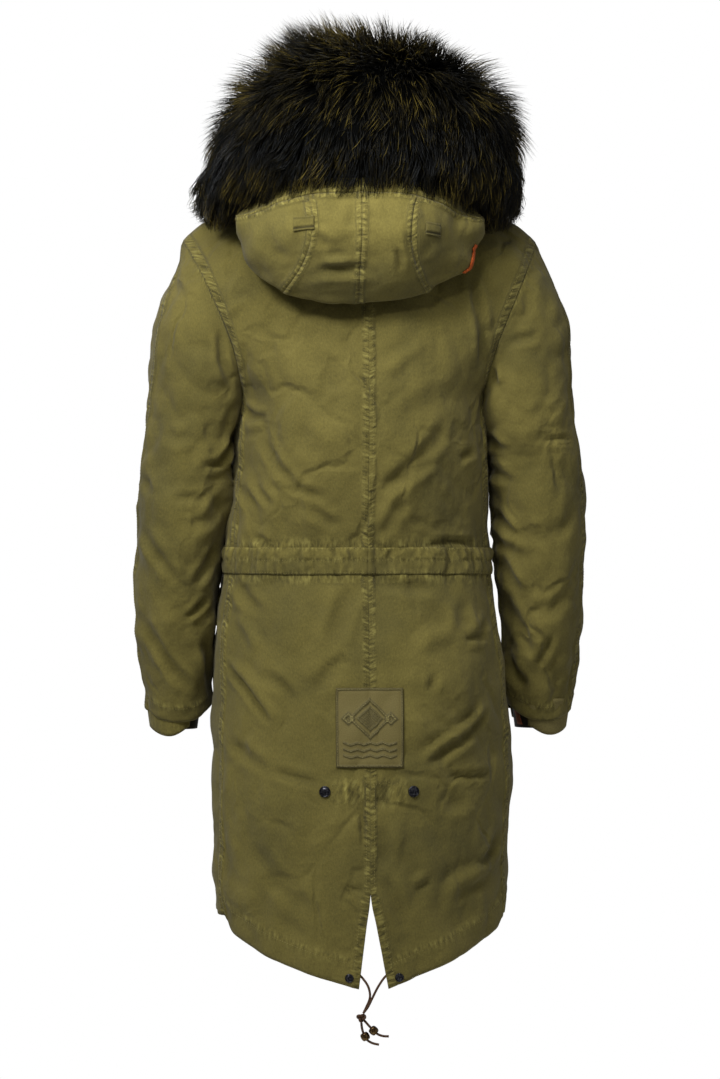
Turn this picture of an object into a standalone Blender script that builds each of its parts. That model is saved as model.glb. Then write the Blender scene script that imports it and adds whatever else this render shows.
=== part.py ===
"""A fur trimmed fishtail parka, filled out as worn: back towards +Y, wearer's left at +X."""

import math

import bmesh
import bpy
import numpy as np
from mathutils import Matrix, Vector

# Driving sizes, in metres. The origin is between the shoulders, level with the nape.
WALL = 0.0020  # shell cloth with its interlining
HEM_WALL = 0.0034  # turned up twice
HOOD_WALL = 0.0015  # two layers without interlining
TRIM_WALL = 0.0018  # strips, flaps and patches sewn on the shell
SEAM_GAP = 0.0003
HOOD_GAP = 0.0009  # at the hood's seams, which meet along sharper bends
LAID_GAP = 0.0004  # between a panel and what is sewn on it
SQUARENESS = 2.25  # of the body's cross sections, 2 being an ellipse

ARMPIT_Z = -0.228
WAIST_TOP_Z = -0.417
WAIST_BOTTOM_Z = -0.451
SIDE_HEM_Z = -0.880
FISHTAIL_DROP = 0.084  # centre back below the side seams
HEM_CURVE = {1: 0.47, -1: 0.54}  # the lower the power, the sooner the hem drops away from the side seam
FRONT_HEM_RISE = 0.018  # centre front above the side seams
HEM_DEPTH = 0.031
SLIT_ROW_Z = -0.772  # height, at the side seam, of the row that holds the slit's top
SLIT_HALF = 0.0185  # half the slit's width at the points
SLIT_SWAY = -0.0045  # the open points hang a little to the wearer's right

NECK_HALF = 0.085
NAPE = Vector((0.0, 0.066, 0.005))
THROAT = Vector((0.0, -0.092, -0.075))
NECK_SIDE_Z = 0.030
SHOULDER = Vector((0.2265, 0.0, -0.027))

NECK_COLUMNS = 4
SHOULDER_COLUMNS = 8
COLUMNS = NECK_COLUMNS + SHOULDER_COLUMNS
ARMHOLE_ROWS = 9
LOWER_ROWS = (SIDE_HEM_Z, SIDE_HEM_Z + HEM_DEPTH, -0.810, SLIT_ROW_Z, -0.720, -0.665, -0.610, -0.555,
              -0.500, WAIST_BOTTOM_Z, WAIST_TOP_Z, -0.375, -0.330, -0.280, ARMPIT_Z)
WAIST_ROW = LOWER_ROWS.index(WAIST_BOTTOM_Z)
SLIT_ROW = LOWER_ROWS.index(SLIT_ROW_Z)


class Table:
    """A row for each section, with named columns, read smoothly between the rows by the first column."""

    def __init__(self, columns, rows):
        values = np.array(rows, float).T
        self.keys = values[0]
        self.columns = dict(zip(columns.split(), values))

    def at(self, key, name):
        keys = self.keys
        column = self.columns[name]
        i = int(np.clip(np.searchsorted(keys, key) - 1, 0, len(keys) - 2))
        slopes = np.gradient(column, keys)
        span = keys[i + 1] - keys[i]
        t = min(max((key - keys[i]) / span, 0.0), 1.0)
        ends = column[i] * (1 + 2 * t) * (1 - t) ** 2 + column[i + 1] * t * t * (3 - 2 * t)
        return ends + span * (slopes[i] * t * (1 - t) ** 2 + slopes[i + 1] * t * t * (t - 1))

    def point(self, key, prefix=""):
        return Vector([self.at(key, prefix + axis) for axis in "xyz"])


TORSO = Table("z half_width back front seam", [
    (-0.965, 0.1800, 0.160, 0.150, 69),
    (-0.880, 0.1865, 0.165, 0.156, 69),
    (-0.780, 0.1890, 0.165, 0.156, 69),
    (-0.670, 0.1905, 0.158, 0.151, 70),
    (-0.580, 0.1850, 0.149, 0.144, 71),
    (-0.484, 0.1740, 0.134, 0.132, 72),
    (-0.434, 0.1675, 0.125, 0.126, 73),
    (-0.381, 0.1645, 0.133, 0.133, 74),
    (-0.292, 0.1590, 0.145, 0.142, 75),
    (ARMPIT_Z, 0.1560, 0.148, 0.142, 76),
])
# Centre lines and armholes above the armpit: t runs from the armpit, 0, to the neck or the shoulder, 1.
CENTRE_BACK = Table("t y z", [
    (0.00, 0.148, ARMPIT_Z),
    (0.30, 0.143, -0.155),
    (0.55, 0.129, -0.097),
    (0.78, 0.104, -0.045),
    (1.00, NAPE.y, NAPE.z),
])
CENTRE_FRONT = Table("t y z", [
    (0.0, -0.142, ARMPIT_Z),
    (0.4, -0.134, -0.168),
    (0.7, -0.117, -0.120),
    (1.0, THROAT.y, THROAT.z),
])
ARMHOLE_BACK = Table("t x y z", [
    (0.00, 0.1520, 0.042, ARMPIT_Z),
    (0.17, 0.1585, 0.068, -0.195),
    (0.34, 0.1680, 0.081, -0.160),
    (0.50, 0.1810, 0.084, -0.128),
    (0.66, 0.1950, 0.077, -0.096),
    (0.83, 0.2110, 0.054, -0.060),
    (1.00, SHOULDER.x, SHOULDER.y, SHOULDER.z),
])
ARMHOLE_FRONT = Table("t x y z", [
    (0.00, 0.1520, 0.042, ARMPIT_Z),
    (0.15, 0.1575, 0.000, -0.222),
    (0.32, 0.1590, -0.044, -0.196),
    (0.50, 0.1640, -0.071, -0.152),
    (0.67, 0.1790, -0.076, -0.107),
    (0.84, 0.2040, -0.054, -0.063),
    (1.00, SHOULDER.x, SHOULDER.y, SHOULDER.z),
])
# Inner and outer edge of the sleeve seen from behind, its middle and half depth seen from the side.
SLEEVE_TOP_Z = -0.300
RIGHT_SLEEVE_FULLER = 0.0055  # the right sleeve stands this much further out
SLEEVE = Table("z inner outer middle half_depth", [
    (-0.665, 0.2010, 0.2690, -0.056, 0.043),
    (-0.640, 0.1975, 0.2710, -0.055, 0.047),
    (-0.612, 0.1935, 0.2745, -0.051, 0.053),
    (-0.574, 0.1900, 0.2800, -0.043, 0.060),
    (-0.535, 0.1865, 0.2830, -0.034, 0.064),
    (-0.484, 0.1800, 0.2850, -0.024, 0.068),
    (-0.434, 0.1725, 0.2855, -0.015, 0.071),
    (-0.381, 0.1690, 0.2830, -0.010, 0.074),
    (SLEEVE_TOP_Z, 0.1635, 0.2775, -0.006, 0.078),
])
SLEEVE_ROWS = (-0.612, -0.574, -0.535, -0.500, -0.467, -0.434, -0.400, -0.365, -0.332)
CAP_ROWS = 7
CAP_FULLNESS = 0.50  # how far the sleeve's head stands out beside the shoulder's end
HEM_TURNS = Table("turn z", [
    (-0.50, -0.624),
    (-0.25, -0.630),
    (0.00, -0.625),
    (0.25, -0.641),
    (0.33, -0.637),
    (0.43, -0.624),
    (0.50, -0.617),
])

# The ruff, from centre back, c 0, round to its end at the throat, c 8.
RUFF = Table("c x y z radial tall", [
    (0, 0.000, 0.158, 0.130, 0.062, 0.094),
    (1, 0.060, 0.150, 0.128, 0.064, 0.093),
    (2, 0.107, 0.118, 0.118, 0.066, 0.090),
    (3, 0.136, 0.068, 0.100, 0.065, 0.090),
    (4, 0.144, 0.010, 0.092, 0.061, 0.073),
    (5, 0.132, -0.044, 0.073, 0.055, 0.062),
    (6, 0.104, -0.090, 0.034, 0.050, 0.056),
    (7, 0.064, -0.122, -0.002, 0.045, 0.050),
    (8, 0.024, -0.139, -0.032, 0.040, 0.045),
])
# How far the ruff's foot stands out beyond its top, and how much wider each side of it is.
RUFF_SIDE = Table("c lean_left lean_right more_left more_right", [
    (0, 0.34, 0.34, 0.010, -0.010),
    (1, 0.37, 0.32, 0.006, -0.010),
    (2, 0.42, 0.28, -0.005, -0.008),
    (4, 0.46, 0.20, -0.008, 0.000),
    (5, 0.40, 0.24, -0.004, 0.000),
    (6, 0.34, 0.34, 0.000, 0.000),
    (8, 0.34, 0.34, 0.000, 0.000),
])
RUFF_SIDES = 14
RUFF_FOOT_SQUARENESS = 2.3  # of the lower half of its section, 2 being an ellipse
RUFF_STEP = 0.4
# The hood hangs as a bag: its fold is its lowest line and its belly stands furthest out.
HOOD = Table("c foldx foldy foldz bellyx bellyy bellyz seat", [
    (0, 0.000, 0.168, -0.111, 0.000, 0.222, -0.042, -78),
    (1, 0.052, 0.166, -0.109, 0.055, 0.218, -0.040, -78),
    (2, 0.104, 0.148, -0.093, 0.113, 0.190, -0.032, -84),
    (3, 0.144, 0.104, -0.042, 0.158, 0.126, -0.008, -100),
    (3.5, 0.119, 0.046, 0.003, 0.129, 0.051, 0.009, -110),
    (4, 0.108, 0.012, 0.028, 0.112, 0.014, 0.031, -140),
])
HOOD_END = 7.85  # where it stops short of the throat
HOOD_ARCH = 0.004  # rise of its front, which runs straight from the neck to the ruff
FOLD_ROUND = 0.012
HOOD_ROWS = 13
BRIM_ROWS = 3
CENTRE_COLUMNS = 3
SIDE_COLUMNS = 11
HOOD_SEAM = Table("s c", [(0.0, 2.0), (0.35, 1.85), (0.6, 1.25), (0.8, 1.0), (1.0, 0.95)])
BRIM_SEAM = Table("c s", [(0, 0.93), (1, 0.91), (2, 0.85), (3, 0.74), (4, 0.70), (8, 0.70)])

# Sewn on the body.
FRONT_SNAP = (0.0070, 0.0022)  # radius and height
FLY_SNAPS = 6
FLY_SNAP_TOP = -0.135
FLY_SNAP_STEP = 0.122
FLY_SHORT = 0.35  # of a row that the strip stops short of the hem and of the neck
PATCH_HALF_WIDTH = 0.0415
PATCH_TOP_Z = -0.591
PATCH_FOOT_Z = -0.690
PATCH_LIFT = 0.0007
BACK_SNAPS = [
    ("back_snap_left", 0.0560, -0.7195, (0.0071, 0.0024)),
    ("back_snap_right", -0.0540, -0.7195, (0.0071, 0.0024)),
    ("hem_snap_left", 0.0262, -0.9455, (0.0055, 0.0020)),
    ("hem_snap_right", -0.0365, -0.9450, (0.0055, 0.0020)),
]
FLAP_REAR = -6  # degrees round from the wearer's side towards the front
FLAP_FRONT = -60
FLAP_REAR_Z = -0.470
FLAP_FRONT_Z = -0.458
FLAP_HEIGHT = 0.046
FLAP_POINT = 0.012  # the flap is deeper in its middle
FLAP_LIFT = 0.0012
# Inside the sleeve's end, depths from the sleeve's outer face.
CUFF_TOP_Z = -0.612
BAND_DEPTH = 0.0040
BAND_FRONT = -0.42
BAND_BACK = 0.335
BAND_TURNS = Table("turn z", [
    (-0.42, -0.638),
    (-0.25, -0.648),
    (0.00, -0.647),
    (0.25, -0.657),
    (0.335, -0.646),
])
LINING_DEPTH = 0.0072
LINING_WALL = 0.0012
LINING_Z = -0.650
CUFF_SNAP = (0.0042, 0.0016)
CUFF_SNAP_Z = -0.634
CUFF_SNAP_TURN = 0.41
STRIP_WALL = 0.0012
STRIP_TOP_Z = -0.618
STRIP_FOOT_Z = -0.646
STRIP_TURNS = (0.385, 0.405, 0.425)
STRIP_SLANT = 0.035
# Sewn on the hood: name, sides, foot and top heights, and how far the wearer's left end is raised.
LOOP_LIFT = 0.0008
LOOP_WALL = 0.0018
LOOPS = [
    ("hood_loop_left", 0.0730, 0.0985, -0.0285, -0.0125, -0.002),
    ("hood_loop_right", -0.0825, -0.0640, -0.0330, -0.0185, 0.002),
]
TAB_S = 0.50
TAB_FOOT_C = 2.35
TAB_TOP_C = 2.95
TAB_BACK = -0.003
TAB_WIDTH = 0.006
TAB_CLEAR = 0.0030
TAB_WALL = 0.0015
# Drawcord, out of the hem's two ends, down to one knot, and on through a bead each.
CORD_DIAMETER = 0.003
CORD_ROUTES = {
    "cord_left": [(0.0108, 0.1594, -0.9490), (0.0082, 0.1600, -0.9520), (0.0025, 0.1620, -0.9610),
                  (0.0005, 0.1640, -0.9735), (0.0052, 0.1645, -0.9860), (0.0085, 0.1645, -0.9928)],
    "cord_right": [(-0.0187, 0.1594, -0.9490), (-0.0157, 0.1605, -0.9525), (-0.0094, 0.1650, -0.9610),
                   (-0.0015, 0.1700, -0.9750), (0.0035, 0.1700, -0.9850), (0.0092, 0.1685, -0.9930)],
    "tail_left": [(0.0070, 0.1660, -1.0030), (0.0016, 0.1660, -1.0092), (-0.0038, 0.1660, -1.0148),
                  (-0.0092, 0.1660, -1.0194), (-0.0160, 0.1655, -1.0218), (-0.0227, 0.1650, -1.0222)],
    "tail_right": [(0.0112, 0.1640, -1.0052), (0.0106, 0.1640, -1.0110), (0.0090, 0.1640, -1.0172),
                   (0.0065, 0.1640, -1.0222), (0.0038, 0.1640, -1.0266), (-0.0025, 0.1640, -1.0305),
                   (-0.0106, 0.1640, -1.0325)],
}
KNOT_PLACE = (0.0114, 0.1660, -0.9988)
KNOT_HALF = (0.0066, 0.0058, 0.0050)
KNOT_CLEAR = 0.05  # of its half size, between its skin and the cords' ends
BEAD_MIDDLE = 0.0038
BEAD_RING = 0.0018
BEAD_LONG = 2.1
BEADS = [
    ("bead_left", (-0.0038, 0.1660, -1.0148), (-0.74, 0.0, -0.67)),
    ("bead_right", (0.0065, 0.1640, -1.0222), (-0.49, 0.0, -0.87)),
]

OLIVE = (0.150, 0.125, 0.042)
COLOURS = {
    "shell": (OLIVE, 0.85, 0.0),
    "trim": ((0.170, 0.143, 0.050), 0.85, 0.0),
    "lining": ((0.016, 0.013, 0.011), 0.7, 0.0),
    "fur": ((0.020, 0.017, 0.009), 0.6, 0.0),
    "snap": ((0.030, 0.030, 0.034), 0.35, 1.0),
    "brass": ((0.230, 0.150, 0.060), 0.35, 1.0),
    "leather": ((0.060, 0.030, 0.016), 0.55, 0.0),
    "tab": ((0.560, 0.110, 0.020), 0.55, 0.0),
}

pieces = []  # cloth pieces as grids of points, in the order they are cut
BACK_PIECES = ["back_left", "back_right"]
BODY_PIECES = BACK_PIECES + ["front_left", "front_right"]
HOOD_PIECES = ["hood_centre_left", "hood_centre_right", "hood_side_left", "hood_side_right"]


def clear_scene():
    for obj in list(bpy.data.objects):
        bpy.data.objects.remove(obj, do_unlink=True)


def material(kind):
    found = bpy.data.materials.get(kind)
    if found:
        return found
    colour, roughness, metallic = COLOURS[kind]
    made = bpy.data.materials.new(kind)
    made.use_nodes = True
    shader = made.node_tree.nodes["Principled BSDF"]
    shader.inputs["Base Color"].default_value = (*colour, 1.0)
    shader.inputs["Roughness"].default_value = roughness
    shader.inputs["Metallic"].default_value = metallic
    return made


def add_object(name, data, kind):
    obj = bpy.data.objects.new(name, data)
    data.materials.append(material(kind))
    collection.objects.link(obj)
    return obj


def mix(a, b, t):
    return a + (b - a) * t


def unit(vectors):
    return vectors / np.maximum(np.linalg.norm(vectors, axis=-1, keepdims=True), 1e-12)


def grid_of(rows, columns, point):
    """Points of a piece, rows from its foot up and columns from its first edge, both from 0 to 1."""
    return np.array([[point(r / rows, c / columns) for c in range(columns + 1)] for r in range(rows + 1)])


def normals_of(points, facing):
    """Directions out of the cloth at each point; facing is 1 or -1 and says which side is the outside."""
    down = np.gradient(points, axis=0)
    across = np.gradient(points, axis=1)
    return unit(np.cross(across, down)) * facing


def add_piece(name, points, facing, thickness=WALL, gap=SEAM_GAP):
    walls = np.broadcast_to(np.asarray(thickness, float), points.shape[:2])
    pieces.append({"name": name, "points": points, "normals": normals_of(points, facing),
                   "walls": walls, "gap": gap})


def share_seam_normals():
    """Where two pieces meet, both walls stand the same way, so their cut edges lie parallel."""
    shared = {}
    for piece in pieces:
        for point, normal in zip(piece["points"].reshape(-1, 3), piece["normals"].reshape(-1, 3)):
            key = tuple(np.round(point * 5000).astype(int))
            shared[key] = shared.get(key, np.zeros(3)) + normal
    for piece in pieces:
        keys = [tuple(np.round(p * 5000).astype(int)) for p in piece["points"].reshape(-1, 3)]
        piece["normals"] = unit(np.array([shared[key] for key in keys])).reshape(piece["points"].shape)


def inset(points, amount):
    """The grid with its edges drawn in by the amount."""
    drawn = points.copy()
    drawn[0] += unit(points[1] - points[0]) * amount
    drawn[-1] += unit(points[-2] - points[-1]) * amount
    drawn[:, 0] += unit(points[:, 1] - points[:, 0]) * amount
    drawn[:, -1] += unit(points[:, -2] - points[:, -1]) * amount
    return drawn


def wall_object(name, outer, inner, kind):
    """A closed wall of cloth between two grids of points."""
    rows, columns = outer.shape[0] - 1, outer.shape[1] - 1
    mesh = bmesh.new()
    bmesh.ops.create_grid(mesh, x_segments=columns, y_segments=rows, size=0.5)
    place = mesh.verts.layers.int.new("place")
    for vert in mesh.verts:
        vert[place] = round((vert.co.y + 0.5) * rows) * (columns + 1) + round((vert.co.x + 0.5) * columns)
    kept = set(mesh.verts)
    bmesh.ops.extrude_face_region(mesh, geom=mesh.faces[:], use_keep_orig=True)
    inner_points = inner.reshape(-1, 3)
    outer_points = outer.reshape(-1, 3)
    for vert in mesh.verts:
        vert.co = (inner_points if vert in kept else outer_points)[vert[place]]
    bmesh.ops.recalc_face_normals(mesh, faces=mesh.faces[:])
    if mesh.calc_volume(signed=True) < 0:
        bmesh.ops.reverse_faces(mesh, faces=mesh.faces[:])
    mesh.verts.layers.int.remove(place)
    data = bpy.data.meshes.new(name)
    mesh.to_mesh(data)
    mesh.free()
    data.shade_smooth()
    data.set_sharp_from_angle(angle=math.radians(50))
    return add_object(name, data, kind)


def build_pieces():
    share_seam_normals()
    for piece in pieces:
        outer = inset(piece["points"], piece["gap"] / 2)
        inner = outer - piece["normals"] * piece["walls"][..., None]
        wall_object(piece["name"], outer, inner, "shell")


# Body ---------------------------------------------------------------------------------------------


def neckline(share, is_back):
    """Quarter of the neck edge, from its middle, share 0, to the side of the neck, share 1."""
    angle = share * math.pi / 2
    middle = NAPE if is_back else THROAT
    rise = 1 - math.cos(angle) ** (1.0 if is_back else 1.3)
    height = mix(middle.z, NECK_SIDE_Z, rise)
    return Vector((NECK_HALF * math.sin(angle), middle.y * math.cos(angle), height))


def shoulder_seam(share):
    drop = 0.55 * share + 0.45 * share ** 6
    return Vector((mix(NECK_HALF, SHOULDER.x, share), 0.0, mix(NECK_SIDE_Z, SHOULDER.z, drop)))


def top_edge(column, is_back):
    if column <= NECK_COLUMNS:
        return neckline(column / NECK_COLUMNS, is_back)
    return shoulder_seam((column - NECK_COLUMNS) / SHOULDER_COLUMNS)


def body_row(z, column, is_back):
    """Point of a body section below the armpit, before the hem's curve."""
    half_width, back, front, seam = (TORSO.at(z, name) for name in ("half_width", "back", "front", "seam"))
    edge = math.radians(seam if is_back else 180 - seam)
    angle = edge * column / COLUMNS
    power = 2 / SQUARENESS
    deep = math.copysign(abs(math.cos(angle)) ** power, math.cos(angle))
    if not is_back:
        deep = -deep
    depth = back if deep > 0 else front
    return Vector((half_width * math.sin(angle) ** power, depth * deep, z))


def lower_point(row, column, is_back, side):
    z = LOWER_ROWS[row]
    share = (WAIST_BOTTOM_Z - z) / (WAIST_BOTTOM_Z - SIDE_HEM_Z)
    follow = 1 - (1 - share) ** 1.6 if share > 0 else 0.0
    across = body_row(z, column, is_back).x / body_row(z, COLUMNS, is_back).x
    curve = (1 - min(across, 1.0)) ** HEM_CURVE[side]
    rise = -FISHTAIL_DROP if is_back else FRONT_HEM_RISE
    point = body_row(z + rise * curve * follow, column, is_back)
    if is_back and row < SLIT_ROW:
        top = lower_point(SLIT_ROW, 0, True, side).z
        foot = SIDE_HEM_Z - FISHTAIL_DROP
        opening = max((top - point.z) / (top - foot), 0.0)
        point.x += opening * (SLIT_HALF + side * SLIT_SWAY) * (1 - column / COLUMNS) ** 3
    return point


def upper_point(t, column, is_back):
    centre = (CENTRE_BACK if is_back else CENTRE_FRONT)
    middle = Vector((0.0, centre.at(t, "y"), centre.at(t, "z")))
    edge = (ARMHOLE_BACK if is_back else ARMHOLE_FRONT).point(t)
    foot = body_row(ARMPIT_Z, column, is_back)
    foot_edge = body_row(ARMPIT_Z, COLUMNS, is_back)
    foot_middle = body_row(ARMPIT_Z, 0, is_back)
    top = top_edge(column, is_back)
    top_middle = top_edge(0, is_back)
    share = column / COLUMNS
    blend = t ** 2
    beyond = max(foot.x / foot_edge.x - 1, 0.0) * (1 - max(1 - 6 * t, 0.0))
    across = mix(foot.x / foot_edge.x - beyond, top.x / SHOULDER.x, blend)
    deep = mix((foot.y - foot_edge.y) / (foot_middle.y - foot_edge.y), top.y / top_middle.y, blend)
    lift = (top.z - mix(top_middle.z, SHOULDER.z, share)) * blend
    return Vector((edge.x * across, mix(edge.y, middle.y, deep), mix(middle.z, edge.z, share) + lift))


# Soft folds: a crease line's two ends as seen from behind, its half width, and how far it lifts the cloth.
BACK_FOLDS = [
    (0.16, -0.03, 0.145, -0.17, 0.022, 0.006),
    (-0.15, -0.03, -0.150, -0.18, 0.022, 0.006),
    (0.11, -0.36, 0.02, -0.24, 0.035, -0.005),
    (-0.12, -0.37, -0.03, -0.27, 0.035, -0.005),
    (0.13, -0.52, 0.06, -0.66, 0.030, -0.006),
    (-0.13, -0.50, -0.07, -0.62, 0.030, -0.006),
    (0.15, -0.70, 0.08, -0.84, 0.035, 0.007),
    (-0.14, -0.72, -0.09, -0.86, 0.035, 0.007),
]
FRONT_FOLDS = [
    (0.15, -0.10, 0.06, -0.20, 0.030, -0.005),
    (-0.15, -0.11, -0.06, -0.20, 0.030, -0.005),
    (0.13, -0.50, 0.07, -0.62, 0.032, 0.006),
    (-0.12, -0.52, -0.07, -0.64, 0.032, 0.006),
    (0.10, -0.70, 0.06, -0.84, 0.034, -0.006),
    (-0.11, -0.72, -0.07, -0.85, 0.034, -0.006),
]


def fold_height(points, folds):
    """How far the soft folds lift the cloth, from straight crease lines on the view from behind."""
    height = np.zeros(points.shape[:-1])
    flat = points[..., [0, 2]]
    for x0, z0, x1, z1, width, depth in folds:
        start = np.array((x0, z0))
        along = np.array((x1, z1)) - start
        share = np.clip(((flat - start) @ along) / (along @ along), 0.0, 1.0)
        away = np.linalg.norm(flat - start - share[..., None] * along, axis=-1)
        height += depth * np.exp(-(away / width) ** 2) * np.sin(math.pi * np.clip(share, 0.08, 0.92)) ** 0.5
    return height


def mirrored(points, side):
    return points * np.array((side, 1.0, 1.0))


def body_panel(side, is_back):
    lower = [[lower_point(row, column, is_back, side) for column in range(COLUMNS + 1)]
             for row in range(len(LOWER_ROWS))]
    upper = [[upper_point(row / ARMHOLE_ROWS, column, is_back) for column in range(COLUMNS + 1)]
             for row in range(1, ARMHOLE_ROWS + 1)]
    points = mirrored(np.array(lower + upper), side)
    facing = -side if is_back else side
    heights = fold_height(points, BACK_FOLDS if is_back else FRONT_FOLDS)
    return points + normals_of(points, facing) * fade_edges(heights)[..., None], facing


def fade_edges(heights):
    """Folds run out at a piece's edges, so that the pieces still meet."""
    rows, columns = heights.shape
    ends = np.minimum(np.arange(rows), np.arange(rows)[::-1]) / 2
    sides = np.minimum(np.arange(columns), np.arange(columns)[::-1]) / 2
    return heights * np.minimum(ends, 1.0)[:, None] * np.minimum(sides, 1.0)[None, :]


def make_body():
    walls = np.full((len(LOWER_ROWS) + ARMHOLE_ROWS, COLUMNS + 1), WALL)
    walls[0] = HEM_WALL
    walls[1] = HEM_WALL
    for side, word in ((1, "left"), (-1, "right")):
        for is_back, half in ((True, "back"), (False, "front")):
            points, facing = body_panel(side, is_back)
            add_piece(f"{half}_{word}", points, facing, thickness=walls)


# Sleeves ------------------------------------------------------------------------------------------


def sleeve_ring(z, turn, side):
    """Point of the left sleeve: turn 0 at its outer side, 0.25 behind, 0.5 at the body, 0.75 in front."""
    inner, outer, middle, half_depth = (SLEEVE.at(z, n) for n in ("inner", "outer", "middle", "half_depth"))
    outer += RIGHT_SLEEVE_FULLER if side < 0 else 0.0
    angle = 2 * math.pi * turn
    return Vector(((inner + outer) / 2 + (outer - inner) / 2 * math.cos(angle),
                   middle + half_depth * math.sin(angle), z))


def armhole(turn):
    half = turn % 1.0
    if half <= 0.5:
        return ARMHOLE_BACK.point(1 - half * 2)
    return ARMHOLE_FRONT.point(half * 2 - 1)


def cap_point(turn, share, side):
    """The sleeve's cap, from the armhole, share 0, to its first level ring, share 1."""
    start = armhole(turn)
    end = sleeve_ring(SLEEVE_TOP_Z, turn, side)
    angle = 2 * math.pi * turn
    reach = (end - start).length
    off_ridge = min(abs(turn - round(turn)) / 0.05, 1.0)
    outwards = 0.30 + 0.14 * math.cos(angle) + CAP_FULLNESS * off_ridge * max(math.cos(angle), 0.0)
    leave = Vector((outwards, 0.24 * math.sin(angle), -1.0)).normalized() * reach
    below = sleeve_ring(SLEEVE_TOP_Z - 0.02, turn, side)
    arrive = (below - end).normalized() * reach
    t = share
    return (start * ((1 + 2 * t) * (1 - t) ** 2) + end * (t * t * (3 - 2 * t))
            + leave * (t * (1 - t) ** 2) + arrive * (t * t * (t - 1)))


def outer_seam(share, side):
    """Turn at which the sleeve's outer seam lies, from the shoulder, 0, to the cuff, 1."""
    settle = min(share / 0.25, 1.0)
    turned = 0.065 * math.sin(math.pi / 2 * settle)
    return turned if side < 0 else turned * (1 - 0.85 * min(max(share - 0.2, 0.0) / 0.3, 1.0))


SLEEVE_FOLDS = [
    (0.175, -0.30, 0.225, -0.36, 0.024, -0.005),
    (0.265, -0.40, 0.215, -0.47, 0.022, -0.005),
    (0.190, -0.44, 0.235, -0.41, 0.020, 0.004),
    (0.262, -0.52, 0.215, -0.60, 0.020, -0.004),
    (0.200, -0.55, 0.230, -0.50, 0.020, 0.004),
]


def sleeve_half(side, is_back):
    rows = len(SLEEVE_ROWS) + 1 + CAP_ROWS
    columns = ARMHOLE_ROWS

    def turn_at(column, length_share):
        seam = outer_seam(length_share, side)
        share = column / columns
        return mix(seam, 0.5, share) if is_back else mix(0.5, 1 + seam, share)

    grid = []
    for row in range(rows + 1):
        line = []
        for column in range(columns + 1):
            turn = turn_at(column, 1 - row / rows)
            if row == 0:
                signed = turn if turn <= 0.5 else turn - 1
                line.append(sleeve_ring(HEM_TURNS.at(signed, "z"), turn, side))
            elif row <= len(SLEEVE_ROWS):
                line.append(sleeve_ring(SLEEVE_ROWS[row - 1], turn, side))
            else:
                line.append(cap_point(turn, (rows - row) / CAP_ROWS, side))
        grid.append(line)
    points = mirrored(np.array(grid), side)
    facing = side
    heights = fold_height(points * np.array((side, 1, 1)), SLEEVE_FOLDS)
    return points + normals_of(points, facing) * fade_edges(heights)[..., None], facing


def make_sleeves():
    for side, word in ((1, "left"), (-1, "right")):
        for is_back, half in ((True, "back"), (False, "front")):
            points, facing = sleeve_half(side, is_back)
            add_piece(f"sleeve_{half}_{word}", points, facing)


# Hood and ruff ------------------------------------------------------------------------------------


def ruff_centre(c, side):
    """Middle of the ruff, c along it, as if on the left."""
    return RUFF.point(c) + Vector((RUFF_SIDE.at(c, "more_left" if side > 0 else "more_right"), 0.0, 0.0))


def ruff_frame(c, side):
    """The ruff's middle, the way out from it, and how its section leans."""
    centre = ruff_centre(c, side)
    lean = RUFF_SIDE.at(c, "lean_left" if side > 0 else "lean_right")
    return centre, Vector((centre.x, centre.y, 0.0)).normalized(), lean


def ruff_point(c, turn, side, grow=0.0):
    """Point on the ruff's skin: turn in degrees, 0 outwards, 90 up, -90 down."""
    centre, out, lean = ruff_frame(c, side)
    angle = math.radians(turn)
    radial = RUFF.at(c, "radial") + grow
    tall = RUFF.at(c, "tall") + grow
    across, up = math.cos(angle), math.sin(angle)
    if up < 0:
        power = 2 / RUFF_FOOT_SQUARENESS
        across = math.copysign(abs(across) ** power, across)
        up = -abs(up) ** power
    rise = tall * up
    return centre + out * (radial * across - lean * rise) + Vector((0.0, 0.0, rise))


def neck_edge(c):
    """Foot of the hood, on the straight stretches of the body's neck edge."""
    low = min(int(c), 7)
    ends = [neckline(k / 4, True) if k <= 4 else neckline((8 - k) / 4, False) for k in (low, low + 1)]
    return ends[0].lerp(ends[1], c - low) + Vector((0.0, 0.0, 0.0030))


HOOD_SWAY = Table("s x", [(0.0, 0.0), (0.1, 0.0), (0.38, 0.014), (0.75, 0.013), (1.0, 0.0)])
HOOD_PATH = (0.0, 0.10, 0.22, 0.34, 0.43, 0.68, 1.0)  # neck, stand, over, fold's two sides, belly, rim


def nearest_seat(c, side):
    """Turn of the place on the ruff that is nearest to the neck edge."""
    neck = neck_edge(c)
    return min(range(-200, -80, 2), key=lambda turn: (ruff_point(c, turn, side) - neck).length)


RUFF_STATIONS = [k / 8 for k in range(65)]


def clear_of_ruff(place, side, grow):
    """The place, moved straight out of the ruff where it would lie in it."""
    c = min(RUFF_STATIONS, key=lambda c: ((ruff_centre(c, side) - place) * Vector((1.0, 1.0, 0.0))).length)
    centre, out, lean = ruff_frame(c, side)
    away = place - centre
    rise = away.z
    across = away.dot(out) + lean * rise
    power = RUFF_FOOT_SQUARENESS if rise < 0 else 2.0
    radial = RUFF.at(c, "radial") + grow
    tall = RUFF.at(c, "tall") + grow
    fill = abs(across / radial) ** power + abs(rise / tall) ** power
    if fill >= 1:
        return place
    stretch = fill ** (-1 / power) - 1
    return place + out * ((across - lean * rise) * stretch) + Vector((0.0, 0.0, rise * stretch))


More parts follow.
